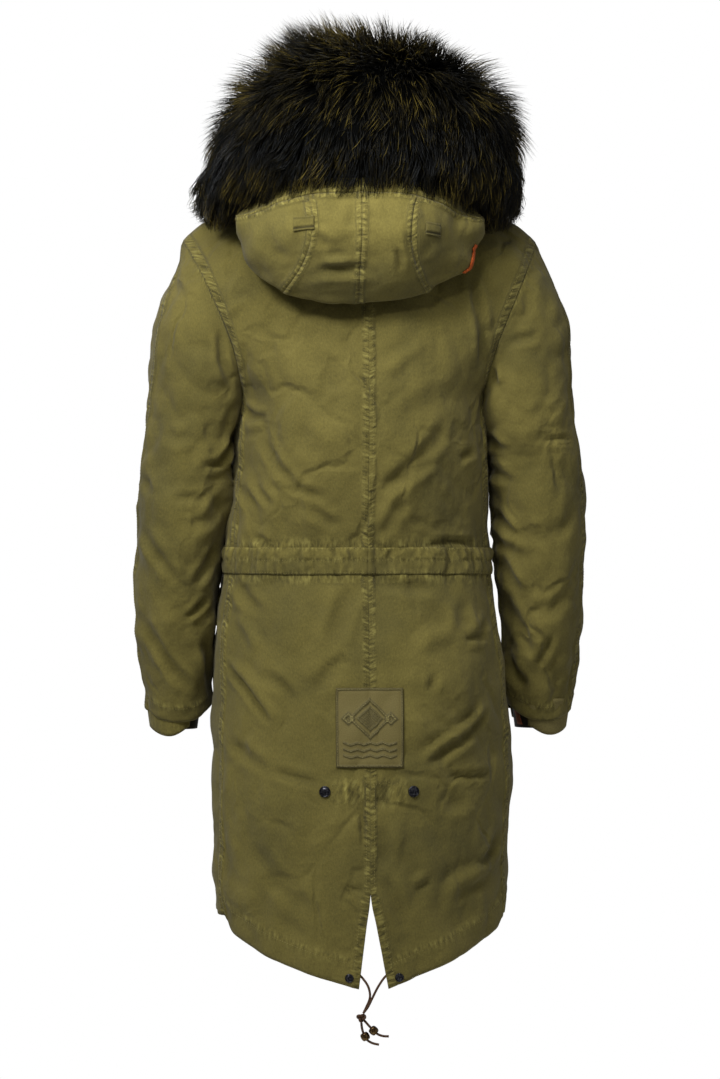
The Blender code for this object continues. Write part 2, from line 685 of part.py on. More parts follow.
def hood_point(s, c, side):
    neck = neck_edge(c)
    fold = HOOD.point(c, "fold")
    belly = HOOD.point(c, "belly")
    front = min(max(c - 3.5, 0.0) / 0.6, 1.0)
    seat = mix(HOOD.at(c, "seat"), nearest_seat(c, side), front)
    rim = ruff_point(c, seat, side, mix(0.0008, 0.0040, min(max(c - 2.3, 0.0) / 0.5, 1.0)))
    stand = neck + (fold - neck) * 0.10 + Vector((0.0, 0.0, 0.014))
    over = neck.lerp(fold, 0.45) + Vector((0.0, 0.0, 0.013))
    out = (belly - fold) * Vector((1.0, 1.0, 0.0))
    out.normalize()
    rounding = FOLD_ROUND * min((belly - fold).length / 0.04, 1.0)
    under = fold - out * rounding
    outer = fold + out * rounding + Vector((0.0, 0.0, 0.7 * rounding))
    stops = [neck, stand, over, under, outer, belly, rim]
    path = Table("s x y z", [(at, *stop) for at, stop in zip(HOOD_PATH, stops)])
    arch = neck.lerp(rim, s) + Vector((0.0, 0.0, HOOD_ARCH * math.sin(math.pi * s)))
    place = path.point(s).lerp(arch, front * front * (3 - 2 * front))
    return place if s >= 1 else clear_of_ruff(place, side, 0.0036)


def bag_place(s, c, side):
    """The bag hangs a little to the wearer's left."""
    place = hood_point(s, c, side)
    sway = HOOD_SWAY.at(s, "x") * min(max(3.4 - c, 0.0), 1.0)
    return np.array((place.x * side + sway, place.y, place.z))


def hood_seam_c(s):
    return HOOD_SEAM.at(s, "c")


def brim_s(c):
    return BRIM_SEAM.at(c, "s")


def make_hood():
    for side, word in ((1, "left"), (-1, "right")):
        def centre(row, column, side=side):
            c = column * hood_seam_c(row * brim_s(1.0))
            return bag_place(row * brim_s(c), c, side)

        def side_panel(row, column, side=side):
            c = mix(hood_seam_c(row * brim_s(1.0)), HOOD_END, column)
            return bag_place(row * brim_s(c), c, side)

        def brim(row, column, side=side):
            split = CENTRE_COLUMNS / (CENTRE_COLUMNS + SIDE_COLUMNS)
            seam = hood_seam_c(brim_s(1.0))
            past = (column - split) / (1 - split)
            c = column / split * seam if column <= split else mix(seam, HOOD_END, past)
            return bag_place(mix(brim_s(c), 1.0, row), c, side)

        middle = grid_of(HOOD_ROWS, CENTRE_COLUMNS, centre)
        edge = grid_of(HOOD_ROWS, SIDE_COLUMNS, side_panel)
        edging = grid_of(BRIM_ROWS, CENTRE_COLUMNS + SIDE_COLUMNS, brim)
        for name, points in (("centre", middle), ("side", edge), ("brim", edging)):
            add_piece(f"hood_{name}_{word}", points, -side, HOOD_WALL, HOOD_GAP)


def loft(name, rings, kind):
    """One closed solid through rings of points, capped at both ends."""
    mesh = bmesh.new()
    loops = [[mesh.verts.new(point) for point in ring] for ring in rings]
    count = len(rings[0])
    for near, far in zip(loops, loops[1:]):
        for k in range(count):
            mesh.faces.new((near[k], near[(k + 1) % count], far[(k + 1) % count], far[k]))
    mesh.faces.new(loops[0][::-1])
    mesh.faces.new(loops[-1])
    bmesh.ops.recalc_face_normals(mesh, faces=mesh.faces[:])
    data = bpy.data.meshes.new(name)
    mesh.to_mesh(data)
    mesh.free()
    data.shade_smooth()
    return add_object(name, data, kind)


def make_ruff():
    for side, word in ((1, "left"), (-1, "right")):
        for start, end, place in ((0.0, 4.0, "back"), (4.0, 8.0, "front")):
            count = round((end - start) / RUFF_STEP)
            rings = []
            for k in range(count + 1):
                c = mix(start, end, k / count)
                if k == 0:
                    c += 0.003
                if k == count and end < 8:
                    c -= 0.003
                tuck = 0.72 if c > 7.9 else 1.0
                middle = ruff_centre(c, side)
                ring = [middle + (ruff_point(c, 360 * i / RUFF_SIDES, side) - middle) * tuck
                        for i in range(RUFF_SIDES)]
                rings.append([Vector((p.x * side, p.y, p.z)) for p in ring])
            loft(f"ruff_{place}_{word}", rings, "fur")


# What is sewn on --------------------------------------------------------------------------------------


def lay(names, start, towards):
    """Where a straight line first meets one of the pieces, and the direction out of the cloth there."""
    found = []
    aside = Vector((SEAM_GAP, 0.0, 0.0))  # a line that falls into a seam meets the cloth beside it
    for name in names:
        for beside in (start, start + aside, start - aside):
            met, place, normal, _ = bpy.data.objects[name].ray_cast(beside, towards)
            if met:
                found.append(((place - beside).length, place + start - beside, normal))
                break
    return min(found, key=lambda hit: hit[0])[1:]


def laid_grid(rows, columns, place_of, names, aim, lift=LAID_GAP, wall=TRIM_WALL):
    """Outer and inner points of a piece laid on the cloth; aim gives a line's start and direction."""
    hits = [[lay(names, *aim(*place_of(r / rows, c / columns))) for c in range(columns + 1)]
            for r in range(rows + 1)]
    points = np.array([[hit for hit, _ in line] for line in hits])
    out = normals_of(points, 1)
    if np.sum(out * np.array([[normal for _, normal in line] for line in hits])) < 0:
        out = -out
    return points + out * (lift + wall), points + out * lift


def from_behind(x, z):
    return Vector((x, 0.6, z)), Vector((0.0, -1.0, 0.0))


def from_front(x, z):
    return Vector((x, -0.6, z)), Vector((0.0, 1.0, 0.0))


def from_around(degrees, z):
    """Towards the coat's middle, from the wearer's left at 0 and from the front at -90."""
    out = Vector((math.cos(math.radians(degrees)), math.sin(math.radians(degrees)), 0.0))
    return out * 0.6 + Vector((0.0, 0.0, z)), -out


def find(name):
    return next(piece for piece in pieces if piece["name"] == name)


def make_waist_channel():
    for side, word in ((1, "left"), (-1, "right")):
        grids, normals = [], []
        for half in ("back", "front"):
            piece = find(f"{half}_{word}")
            rows = slice(WAIST_ROW, WAIST_ROW + 2)
            grids.append(piece["points"][rows])
            normals.append(piece["normals"][rows])
        grid = np.concatenate((grids[0], grids[1][:, -2:0:-1]), axis=1)
        out = np.concatenate((normals[0], normals[1][:, -2:0:-1]), axis=1)
        grid = inset(grid, SEAM_GAP / 2)
        face = grid + out * (LAID_GAP + TRIM_WALL)
        wall_object(f"waist_channel_{word}", face, grid + out * LAID_GAP, "trim")


def make_fly():
    left, right = find("front_left"), find("front_right")
    points = np.stack((right["points"][:, 1], left["points"][:, 0], left["points"][:, 1]), axis=1)
    out = np.stack((right["normals"][:, 1], left["normals"][:, 0], left["normals"][:, 1]), axis=1)
    points[0] = mix(points[0], points[1], FLY_SHORT)
    points[-1] = mix(points[-1], points[-2], FLY_SHORT)
    points = inset(points, SEAM_GAP / 2)
    wall_object("fly_strip", points + out * (LAID_GAP + TRIM_WALL), points + out * LAID_GAP, "trim")
    bpy.context.view_layer.update()
    for k in range(FLY_SNAPS):
        hit, normal = lay(["fly_strip"], *from_front(0.0, FLY_SNAP_TOP - k * FLY_SNAP_STEP))
        snap(f"fly_snap_{k + 1}", hit + normal * LAID_GAP, normal, FRONT_SNAP)


def snap(name, seat, normal, size):
    """A press snap's cap: a low turned dome on its face."""
    radius, height = size
    mesh = bmesh.new()
    bmesh.ops.create_cone(mesh, cap_ends=True, segments=14, radius1=radius, radius2=radius * 0.86,
                          depth=height)
    bmesh.ops.translate(mesh, verts=mesh.verts[:], vec=(0.0, 0.0, height / 2))
    turn = Vector((0.0, 0.0, 1.0)).rotation_difference(normal).to_matrix().to_4x4()
    bmesh.ops.transform(mesh, matrix=Matrix.Translation(seat) @ turn, verts=mesh.verts[:])
    data = bpy.data.meshes.new(name)
    mesh.to_mesh(data)
    mesh.free()
    data.shade_smooth()
    data.set_sharp_from_angle(angle=math.radians(30))
    return add_object(name, data, "snap")


def make_back_trim():
    def patch(row, column):
        return mix(-PATCH_HALF_WIDTH, PATCH_HALF_WIDTH, column), mix(PATCH_FOOT_Z, PATCH_TOP_Z, row)

    outer, inner = laid_grid(6, 6, patch, BACK_PIECES, from_behind, lift=PATCH_LIFT)
    wall_object("back_patch", outer, inner, "trim")
    for name, x, z, size in BACK_SNAPS:
        hit, normal = lay(BACK_PIECES, *from_behind(x, z))
        snap(name, hit + normal * LAID_GAP, normal, size)


def make_pockets():
    for side, word in ((1, "left"), (-1, "right")):
        def flap(row, column, side=side):
            angle = mix(FLAP_REAR, FLAP_FRONT, column)
            top = mix(FLAP_REAR_Z, FLAP_FRONT_Z, column)
            dip = FLAP_POINT * math.sin(math.pi * column)
            return (angle if side > 0 else 180 - angle), top - (1 - row) * (FLAP_HEIGHT + dip)

        name = f"pocket_flap_{word}"
        outer, inner = laid_grid(3, 14, flap, BODY_PIECES, from_around, lift=FLAP_LIFT)
        wall_object(name, outer, inner, "trim")
        bpy.context.view_layer.update()
        hit, normal = lay([name], *from_around(*flap(0.30, 0.5)))
        snap(f"pocket_snap_{word}", hit + normal * LAID_GAP, normal, FRONT_SNAP)


def cuff_point(z, turn, depth, side):
    """Inside the sleeve's end, the depth in from its outer face."""
    ring = sleeve_ring(z, turn, side)
    middle = (sleeve_ring(z, 0.0, side) + sleeve_ring(z, 0.5, side)) / 2
    out = (ring - middle).normalized()
    place = ring - out * depth
    return np.array((place.x * side, place.y, place.z)), np.array((out.x * side, out.y, out.z))


def ring_wall(name, first, last, columns, edge, depth, wall, side, kind):
    """A strip inside the cuff, between two turns, from its lower edge up into the sleeve."""
    outer, inner = [], []
    for row in range(3):
        places = []
        for column in range(columns + 1):
            turn = mix(first, last, column / columns)
            z = mix(edge(turn), CUFF_TOP_Z, row / 2)
            places.append(cuff_point(z, turn, depth, side))
        outer.append([place for place, _ in places])
        inner.append([place - out * wall for place, out in places])
    wall_object(name, np.array(outer), np.array(inner), kind)


def make_cuffs():
    for side, word in ((1, "left"), (-1, "right")):
        ring_wall(f"cuff_band_{word}", BAND_FRONT, BAND_BACK, 16, lambda turn: BAND_TURNS.at(turn, "z"),
                  BAND_DEPTH, TRIM_WALL, side, "trim")
        ring_wall(f"cuff_lining_{word}", -0.4985, 0.4985, 20, lambda turn: LINING_Z,
                  LINING_DEPTH, LINING_WALL, side, "lining")
    place, out = cuff_point(CUFF_SNAP_Z, CUFF_SNAP_TURN, 0.0, 1)
    bpy.context.view_layer.update()
    hit, normal = lay(["cuff_lining_left"], Vector(place), -Vector(out))
    snap("cuff_snap_left", hit + normal * 2 * LAID_GAP, normal, CUFF_SNAP)
    outer, inner = [], []
    for row in range(5):
        z = mix(STRIP_FOOT_Z, STRIP_TOP_Z, row / 4)
        line = [cuff_point(z, turn + STRIP_SLANT * row / 4, LINING_DEPTH - LAID_GAP - STRIP_WALL, -1)
                for turn in STRIP_TURNS]
        outer.append([place for place, _ in line])
        inner.append([place - out * STRIP_WALL for place, out in line])
    wall_object("cuff_strip_right", np.array(outer), np.array(inner), "leather")


def make_hood_trim():
    for name, x0, x1, z0, z1, tilt in LOOPS:
        def loop(row, column):
            return mix(x0, x1, column), mix(z0, z1, row) + tilt * (column - 0.5)

        outer, inner = laid_grid(2, 3, loop, HOOD_PIECES, from_behind, lift=LOOP_LIFT, wall=LOOP_WALL)
        wall_object(name, outer, inner, "trim")
    face = []
    for row in range(6):
        edge = bag_place(TAB_S, mix(TAB_FOOT_C, TAB_TOP_C, row / 5), -1)
        free_edge = edge + np.array((-TAB_WIDTH, TAB_BACK, 0.0))
        sewn_edge = edge + np.array((-TAB_CLEAR, TAB_BACK, 0.0))
        face.append([free_edge, sewn_edge])
    face = np.array(face)
    wall_object("hood_tab", face, face + np.array((0.0, TAB_WALL, 0.0)), "tab")


# Drawcord -----------------------------------------------------------------------------------------


def smooth_route(stops, spacing):
    """Points along a smooth curve through the stops."""
    places = [Vector(stop) for stop in stops]
    distance = [0.0]
    for near, far in zip(places, places[1:]):
        distance.append(distance[-1] + (far - near).length)
    path = Table("s x y z", [(at, *place) for at, place in zip(distance, places)])
    count = max(round(distance[-1] / spacing), 2)
    return [path.point(distance[-1] * k / count) for k in range(count + 1)]


def cord(name, stops):
    curve = bpy.data.curves.new(name, "CURVE")
    curve.dimensions = "3D"
    curve.bevel_depth = CORD_DIAMETER / 2
    curve.bevel_resolution = 2
    curve.use_fill_caps = True
    route = smooth_route(stops, 2 * CORD_DIAMETER)
    spline = curve.splines.new("POLY")
    spline.points.add(len(route) - 1)
    for point, place in zip(spline.points, route):
        point.co = (*place, 1.0)
    add_object(name, curve, "leather")


def beside_knot(stop):
    """The end of a cord, drawn up to the knot's skin."""
    away = Vector(stop) - Vector(KNOT_PLACE)
    fill = math.sqrt(sum((a / half) ** 2 for a, half in zip(away, KNOT_HALF)))
    return Vector(KNOT_PLACE) + away * ((1 + KNOT_CLEAR) / fill)


def make_drawcord():
    for name, stops in CORD_ROUTES.items():
        if name.startswith("tail"):
            cord(name, [beside_knot(stops[0])] + stops[1:])
        else:
            cord(name, stops[:-1] + [beside_knot(stops[-1])])
    mesh = bmesh.new()
    bmesh.ops.create_uvsphere(mesh, u_segments=12, v_segments=8, radius=1.0)
    bmesh.ops.scale(mesh, vec=KNOT_HALF, verts=mesh.verts[:])
    bmesh.ops.translate(mesh, vec=KNOT_PLACE, verts=mesh.verts[:])
    data = bpy.data.meshes.new("cord_knot")
    mesh.to_mesh(data)
    mesh.free()
    data.shade_smooth()
    add_object("cord_knot", data, "leather")
    for name, place, axis in BEADS:
        bpy.ops.mesh.primitive_torus_add(major_segments=16, minor_segments=8, major_radius=BEAD_MIDDLE,
                                         minor_radius=BEAD_RING)
        bead = bpy.context.object
        turn = Vector((0.0, 0.0, 1.0)).rotation_difference(Vector(axis)).to_matrix().to_4x4()
        bead.data.transform(Matrix.Translation(place) @ turn @ Matrix.Diagonal((1.0, 1.0, BEAD_LONG, 1.0)))
        bead.data.materials.append(material("brass"))
        bead.data.shade_smooth()
        bead.name = name
        bead.data.name = name
        for holder in list(bead.users_collection):
            holder.objects.unlink(bead)
        collection.objects.link(bead)


clear_scene()
collection = bpy.data.collections.new("parka")
bpy.context.scene.collection.children.link(collection)
make_body()
make_sleeves()
make_hood()
build_pieces()
make_ruff()
bpy.context.view_layer.update()
make_waist_channel()
make_fly()
make_back_trim()
make_pockets()
make_cuffs()
make_hood_trim()
make_drawcord()
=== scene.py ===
from math import copysign, cos, pi, radians, sin

import bmesh
import bpy
import numpy as np
from mathutils import Matrix, Vector, noise
from mathutils.bvhtree import BVHTree


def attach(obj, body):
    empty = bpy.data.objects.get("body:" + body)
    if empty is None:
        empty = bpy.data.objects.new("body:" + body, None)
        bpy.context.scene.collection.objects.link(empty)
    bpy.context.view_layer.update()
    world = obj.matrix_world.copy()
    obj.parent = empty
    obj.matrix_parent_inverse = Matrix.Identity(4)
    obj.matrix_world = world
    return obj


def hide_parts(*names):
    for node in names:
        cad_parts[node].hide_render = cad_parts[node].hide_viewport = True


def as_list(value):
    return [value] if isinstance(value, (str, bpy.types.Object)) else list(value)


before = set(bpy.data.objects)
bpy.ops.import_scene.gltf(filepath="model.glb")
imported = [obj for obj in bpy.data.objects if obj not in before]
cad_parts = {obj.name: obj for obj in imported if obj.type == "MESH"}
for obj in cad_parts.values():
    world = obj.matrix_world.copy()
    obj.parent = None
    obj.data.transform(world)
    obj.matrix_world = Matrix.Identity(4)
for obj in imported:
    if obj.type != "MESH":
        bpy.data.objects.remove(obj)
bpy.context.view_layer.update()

# A fur trimmed fishtail parka on a wearer's form: back towards +Y, wearer's left at +X, metres.
print("stage: frame loaded")


# small helpers

def mix(a, b, t):
    return a + (b - a) * t


def smooth(t):
    t = np.clip(t, 0.0, 1.0)
    return t * t * (3 - 2 * t)


def unit(vectors):
    return vectors / np.maximum(np.linalg.norm(vectors, axis=-1, keepdims=True), 1e-12)


def hexColour(text, alpha=1.0):  # sRGB hex to linear
    values = [int(text[k:k + 2], 16) / 255 for k in (1, 3, 5)]
    return (*[v / 12.92 if v <= 0.04045 else ((v + 0.055) / 1.055) ** 2.4 for v in values], alpha)


def addNode(material, kind, settings=None, inputs=None, stops=None):
    made = material.node_tree.nodes.new("ShaderNode" + kind)
    for name, value in (settings or {}).items():
        setattr(made, name, value)
    for socket, value in (inputs or {}).items():
        if isinstance(value, bpy.types.NodeSocket):
            material.node_tree.links.new(value, made.inputs[socket])
        else:
            made.inputs[socket].default_value = value
    if stops:
        ramp = made.color_ramp.elements
        while len(ramp) < len(stops):
            ramp.new(0.5)
        for element, (place, colour) in zip(ramp, stops):
            element.position = place
            element.color = hexColour(colour)
    return made


def inScene(name, data):
    made = bpy.data.objects.new(name, data)
    bpy.context.scene.collection.objects.link(made)
    return made


def newMaterial(name):
    made = bpy.data.materials.new(name)
    made.use_nodes = True
    made.node_tree.nodes.clear()
    return made


# camera

view = {"turn": 175.5, "distance": 5.0, "height": 1.381, "middleZ": -0.407, "sensor": 36.0, "farthest": 100.0}


def makeCamera():
    turn = radians(view["turn"])
    back = Vector((sin(turn), -cos(turn), 0.0))
    data = bpy.data.cameras.new("camera")
    data.sensor_fit = "VERTICAL"
    data.sensor_height = view["sensor"]
    data.lens = view["sensor"] * view["distance"] / view["height"]
    data.clip_end = view["farthest"]
    camera = inScene("camera", data)
    camera.location = Vector((0.0, 0.0, view["middleZ"])) + back * view["distance"]
    camera.rotation_euler = back.to_track_quat("Z", "Y").to_euler()
    bpy.context.scene.camera = camera


makeCamera()


class Table:
    # a row for each section with named columns, read smoothly between the rows by the first column
    def __init__(self, columns, rows):
        values = np.array(rows, float).T
        self.keys = values[0]
        self.columns = dict(zip(columns.split(), values))
        self.slopes = {name: np.gradient(column, self.keys) for name, column in self.columns.items()}

    def at(self, key, name):
        keys, column, slopes = self.keys, self.columns[name], self.slopes[name]
        i = int(np.clip(np.searchsorted(keys, key) - 1, 0, len(keys) - 2))
        span = keys[i + 1] - keys[i]
        t = min(max((key - keys[i]) / span, 0.0), 1.0)
        ends = column[i] * (1 + 2 * t) * (1 - t) ** 2 + column[i + 1] * t * t * (3 - 2 * t)
        return ends + span * (slopes[i] * t * (1 - t) ** 2 + slopes[i + 1] * t * t * (t - 1))

    def point(self, key, prefix=""):
        return Vector([self.at(key, prefix + axis) for axis in "xyz"])


# the pattern's sizes

shell = {"wall": 0.002, "step": 0.0048, "seamBand": 0.0062, "seamRise": 0.0011}
body = {"squareness": 2.25, "armpitZ": -0.228, "waistTopZ": -0.417, "waistBottomZ": -0.451, "sideHemZ": -0.88,
        "fishtailDrop": 0.084, "hemCurve": {1: 0.47, -1: 0.54}, "frontHemRise": 0.018, "slitRowZ": -0.772,
        "slitHalf": 0.0185, "slitSway": -0.0045, "neckHalf": 0.085, "neckSideZ": 0.03, "creaseDepth": 1.35}
sleeve = {"topZ": -0.3, "rightFuller": 0.0055, "capFullness": 0.5, "capLeave": (0.3, 0.14, 0.24),
          "hemDepth": 0.02, "creaseDepth": 1.45, "seamTurn": 0.065, "leftSeamBack": 0.85}
hood = {"wall": 0.0015, "end": 7.85, "arch": 0.004, "foldRound": 0.012, "seamBand": 0.0052, "neckLift": 0.003,
        "rimGap": (0.0008, 0.004), "standRise": 0.014, "overRise": 0.013, "ruffGap": 0.0036}
ruff = {"footSquareness": 2.3}
trim = {"wall": 0.0018, "gap": 0.0004}
nape = Vector((0.0, 0.066, 0.005))
throat = Vector((0.0, -0.092, -0.075))
shoulder = Vector((0.2265, 0.0, -0.027))
neckColumns = 4
shoulderColumns = 8
bodyColumns = neckColumns + shoulderColumns
armholeRows = 9
lowerRows = (-0.88, -0.849, -0.81, -0.772, -0.72, -0.665, -0.61, -0.555, -0.5, -0.451, -0.417, -0.375,
             -0.33, -0.28, -0.228)
waistRow = lowerRows.index(body["waistBottomZ"])
slitRow = lowerRows.index(body["slitRowZ"])

torso = Table("z halfWidth back front seam", [
    (-0.965, 0.1800, 0.160, 0.150, 69),
    (-0.880, 0.1865, 0.165, 0.156, 69),
    (-0.780, 0.1890, 0.165, 0.156, 69),
    (-0.670, 0.1905, 0.158, 0.151, 70),
    (-0.580, 0.1850, 0.149, 0.144, 71),
    (-0.484, 0.1740, 0.134, 0.132, 72),
    (-0.434, 0.1675, 0.125, 0.126, 73),
    (-0.381, 0.1645, 0.133, 0.133, 74),
    (-0.292, 0.1590, 0.145, 0.142, 75),
    (body["armpitZ"], 0.1560, 0.148, 0.142, 76),
])
# Above the armpit: t runs from the armpit, 0, to the neck or the shoulder, 1.
centreBack = Table("t y z", [
    (0.00, 0.148, body["armpitZ"]),
    (0.30, 0.143, -0.155),
    (0.55, 0.129, -0.097),
    (0.78, 0.104, -0.045),
    (1.00, nape.y, nape.z),
])
centreFront = Table("t y z", [
    (0.0, -0.142, body["armpitZ"]),
    (0.4, -0.134, -0.168),
    (0.7, -0.117, -0.120),
    (1.0, throat.y, throat.z),
])
armholeBack = Table("t x y z", [
    (0.00, 0.1520, 0.042, body["armpitZ"]),
    (0.17, 0.1585, 0.068, -0.195),
    (0.34, 0.1680, 0.081, -0.160),
    (0.50, 0.1810, 0.084, -0.128),
    (0.66, 0.1950, 0.077, -0.096),
    (0.83, 0.2110, 0.054, -0.060),
    (1.00, shoulder.x, shoulder.y, shoulder.z),
])
armholeFront = Table("t x y z", [
    (0.00, 0.1520, 0.042, body["armpitZ"]),
    (0.15, 0.1575, 0.000, -0.222),
    (0.32, 0.1590, -0.044, -0.196),
    (0.50, 0.1640, -0.071, -0.152),
    (0.67, 0.1790, -0.076, -0.107),
    (0.84, 0.2040, -0.054, -0.063),
    (1.00, shoulder.x, shoulder.y, shoulder.z),
])
# Inner and outer edge as seen from behind, middle and half depth as seen from the side.
sleeveShape = Table("z inner outer middle halfDepth", [
    (-0.665, 0.2010, 0.2690, -0.056, 0.043),
    (-0.640, 0.1975, 0.2710, -0.055, 0.047),
    (-0.612, 0.1935, 0.2745, -0.051, 0.053),
    (-0.574, 0.1900, 0.2800, -0.043, 0.060),
    (-0.535, 0.1865, 0.2830, -0.034, 0.064),
    (-0.484, 0.1800, 0.2850, -0.024, 0.068),
    (-0.434, 0.1725, 0.2855, -0.015, 0.071),
    (-0.381, 0.1690, 0.2830, -0.010, 0.074),
    (sleeve["topZ"], 0.1635, 0.2775, -0.006, 0.078),
])
sleeveRows = (-0.612, -0.574, -0.535, -0.5, -0.467, -0.434, -0.4, -0.365, -0.332)
capRows = 7
sleeveHem = Table("turn z", [
    (-0.50, -0.624),
    (-0.25, -0.630),
    (0.00, -0.625),
    (0.25, -0.641),
    (0.33, -0.637),
    (0.43, -0.624),
    (0.50, -0.617),
])

# The ruff, from centre back, c 0, round to its end at the throat, c 8.
ruffShape = Table("c x y z radial tall", [
    (0, 0.000, 0.158, 0.130, 0.062, 0.094),
    (1, 0.060, 0.150, 0.128, 0.064, 0.093),
    (2, 0.107, 0.118, 0.118, 0.066, 0.090),
    (3, 0.136, 0.068, 0.100, 0.065, 0.090),
    (4, 0.144, 0.010, 0.092, 0.061, 0.073),
    (5, 0.132, -0.044, 0.073, 0.055, 0.062),
    (6, 0.104, -0.090, 0.034, 0.050, 0.056),
    (7, 0.064, -0.122, -0.002, 0.045, 0.050),
    (8, 0.024, -0.139, -0.032, 0.040, 0.045),
])
# How far the ruff's foot stands out beyond its top, and how much wider each side is.
ruffLean = Table("c leanLeft leanRight moreLeft moreRight", [
    (0, 0.34, 0.34, 0.010, -0.010),
    (1, 0.37, 0.32, 0.006, -0.010),
    (2, 0.42, 0.28, -0.005, -0.008),
    (4, 0.46, 0.20, -0.008, 0.000),
    (5, 0.40, 0.24, -0.004, 0.000),
    (6, 0.34, 0.34, 0.000, 0.000),
    (8, 0.34, 0.34, 0.000, 0.000),
])
# The hood hangs as a bag: the fold is its lowest line, the belly stands furthest out.
hoodShape = Table("c foldx foldy foldz bellyx bellyy bellyz seat", [
    (0, 0.000, 0.168, -0.111, 0.000, 0.222, -0.042, -78),
    (1, 0.052, 0.166, -0.109, 0.055, 0.218, -0.040, -78),
    (2, 0.104, 0.148, -0.093, 0.113, 0.190, -0.032, -84),
    (3, 0.144, 0.104, -0.042, 0.158, 0.126, -0.008, -100),
    (3.5, 0.119, 0.046, 0.003, 0.129, 0.051, 0.009, -110),
    (4, 0.108, 0.012, 0.028, 0.112, 0.014, 0.031, -140),
])
hoodRows = 13
brimRows = 3
centreColumns = 3
sideColumns = 11
hoodSeam = Table("s c", [(0.0, 2.0), (0.35, 1.85), (0.6, 1.25), (0.8, 1.0), (1.0, 0.95)])
brimSeam = Table("c s", [(0, 0.93), (1, 0.91), (2, 0.85), (3, 0.74), (4, 0.7), (8, 0.7)])


# creases pressed into the cloth, in mm: half width, height, and the line of each as x and z

backCreases = [
    (7, 3.5, (178, -132), (166, -119), (151, -107), (148, -123)),
    (8, -7, (159, -235), (143, -252), (126, -255)),
    (6, 3, (156, -266), (141, -267), (126, -256)),
    (9, -5, (134, -275), (111, -317), (89, -343), (47, -358)),
    (8, 3, (123, -332), (103, -330), (83, -343)),
    (8, -4.5, (155, -337), (138, -369)),
    (7, -3.5, (138, -340), (117, -365)),
    (8, -3.5, (141, -402), (116, -416)),
    (10, -3, (75, -366), (53, -383), (37, -392)),
    (12, -3.5, (-48, -356), (-33, -376), (-17, -407)),
    (14, -5, (-10, -349), (-43, -327), (-73, -295), (-103, -257)),
    (9, -3.5, (-54, -329), (-84, -307)),
    (8, -4.5, (-117, -305), (-142, -293)),
    (7, -4, (-71, -416), (-106, -409), (-147, -412)),
    (14, 3, (-11, -206), (-48, -177), (-73, -157)),
    (20, -2, (72, -169), (49, -192), (40, -226)),
    (18, -2, (-28, -266), (-77, -232), (-114, -226)),
    (18, -2, (89, -266), (60, -306)),
    (10, -5, (164, -57), (178, -95), (182, -129)),
    (10, -6, (-132, -57), (-139, -103), (-146, -146), (-149, -195)),
    (10, -3, (-137, -52), (-160, -103)),
    (10, -4.5, (160, -455), (146, -483), (130, -501)),
    (10, 3.5, (157, -501), (142, -526), (133, -549)),
    (16, -4.5, (17, -464), (31, -491), (43, -524), (51, -545)),
    (7, -7, (180, -557), (153, -590), (120, -640)),
    (12, 3, (169, -557), (133, -600), (113, -636)),
    (11, -4.5, (132, -571), (107, -590), (92, -611)),
    (6, -3.5, (62, -571), (46, -563), (34, -554), (18, -565)),
    (14, -3, (72, -597), (41, -564)),
    (9, -4.5, (123, -693), (87, -704), (60, -710)),
    (12, -3, (175, -657), (148, -680), (120, -699)),
    (8, -6, (-119, -532), (-156, -528)),
    (8, 7, (-59, -683), (-96, -657), (-131, -637), (-156, -610)),
    (10, -4, (-68, -691), (-104, -666), (-142, -643)),
    (7, -5, (-94, -702), (-129, -703), (-164, -701)),
    (9, -4, (-80, -576), (-75, -596)),
    (12, -4, (-12, -459), (-45, -467), (-92, -469)),
    (14, -3, (-119, -483), (-119, -524)),
    (16, 3, (-56, -544), (-78, -529), (-109, -526)),
    (8, -3, (-160, -504), (-142, -524), (-122, -531)),
    (12, -3.5, (183, -776), (176, -808), (163, -843)),
    (16, -3, (148, -780), (115, -831), (67, -876)),
    (8, -5, (7, -738), (9, -765), (6, -787)),
    (12, -3, (-12, -757), (-20, -787), (-15, -818)),
    (6, -4, (35, -843), (21, -839), (4, -839)),
    (9, -5, (-173, -770), (-161, -799), (-143, -817)),
    (14, 3.5, (-162, -819), (-117, -833), (-94, -848)),
    (9, 3, (-50, -833), (-73, -822)),
    (14, -3, (-12, -823), (-28, -848), (-48, -897)),
    (14, -3, (-89, -714), (-106, -737), (-129, -734)),
    (18, -2, (92, -813), (125, -843), (133, -884)),
]
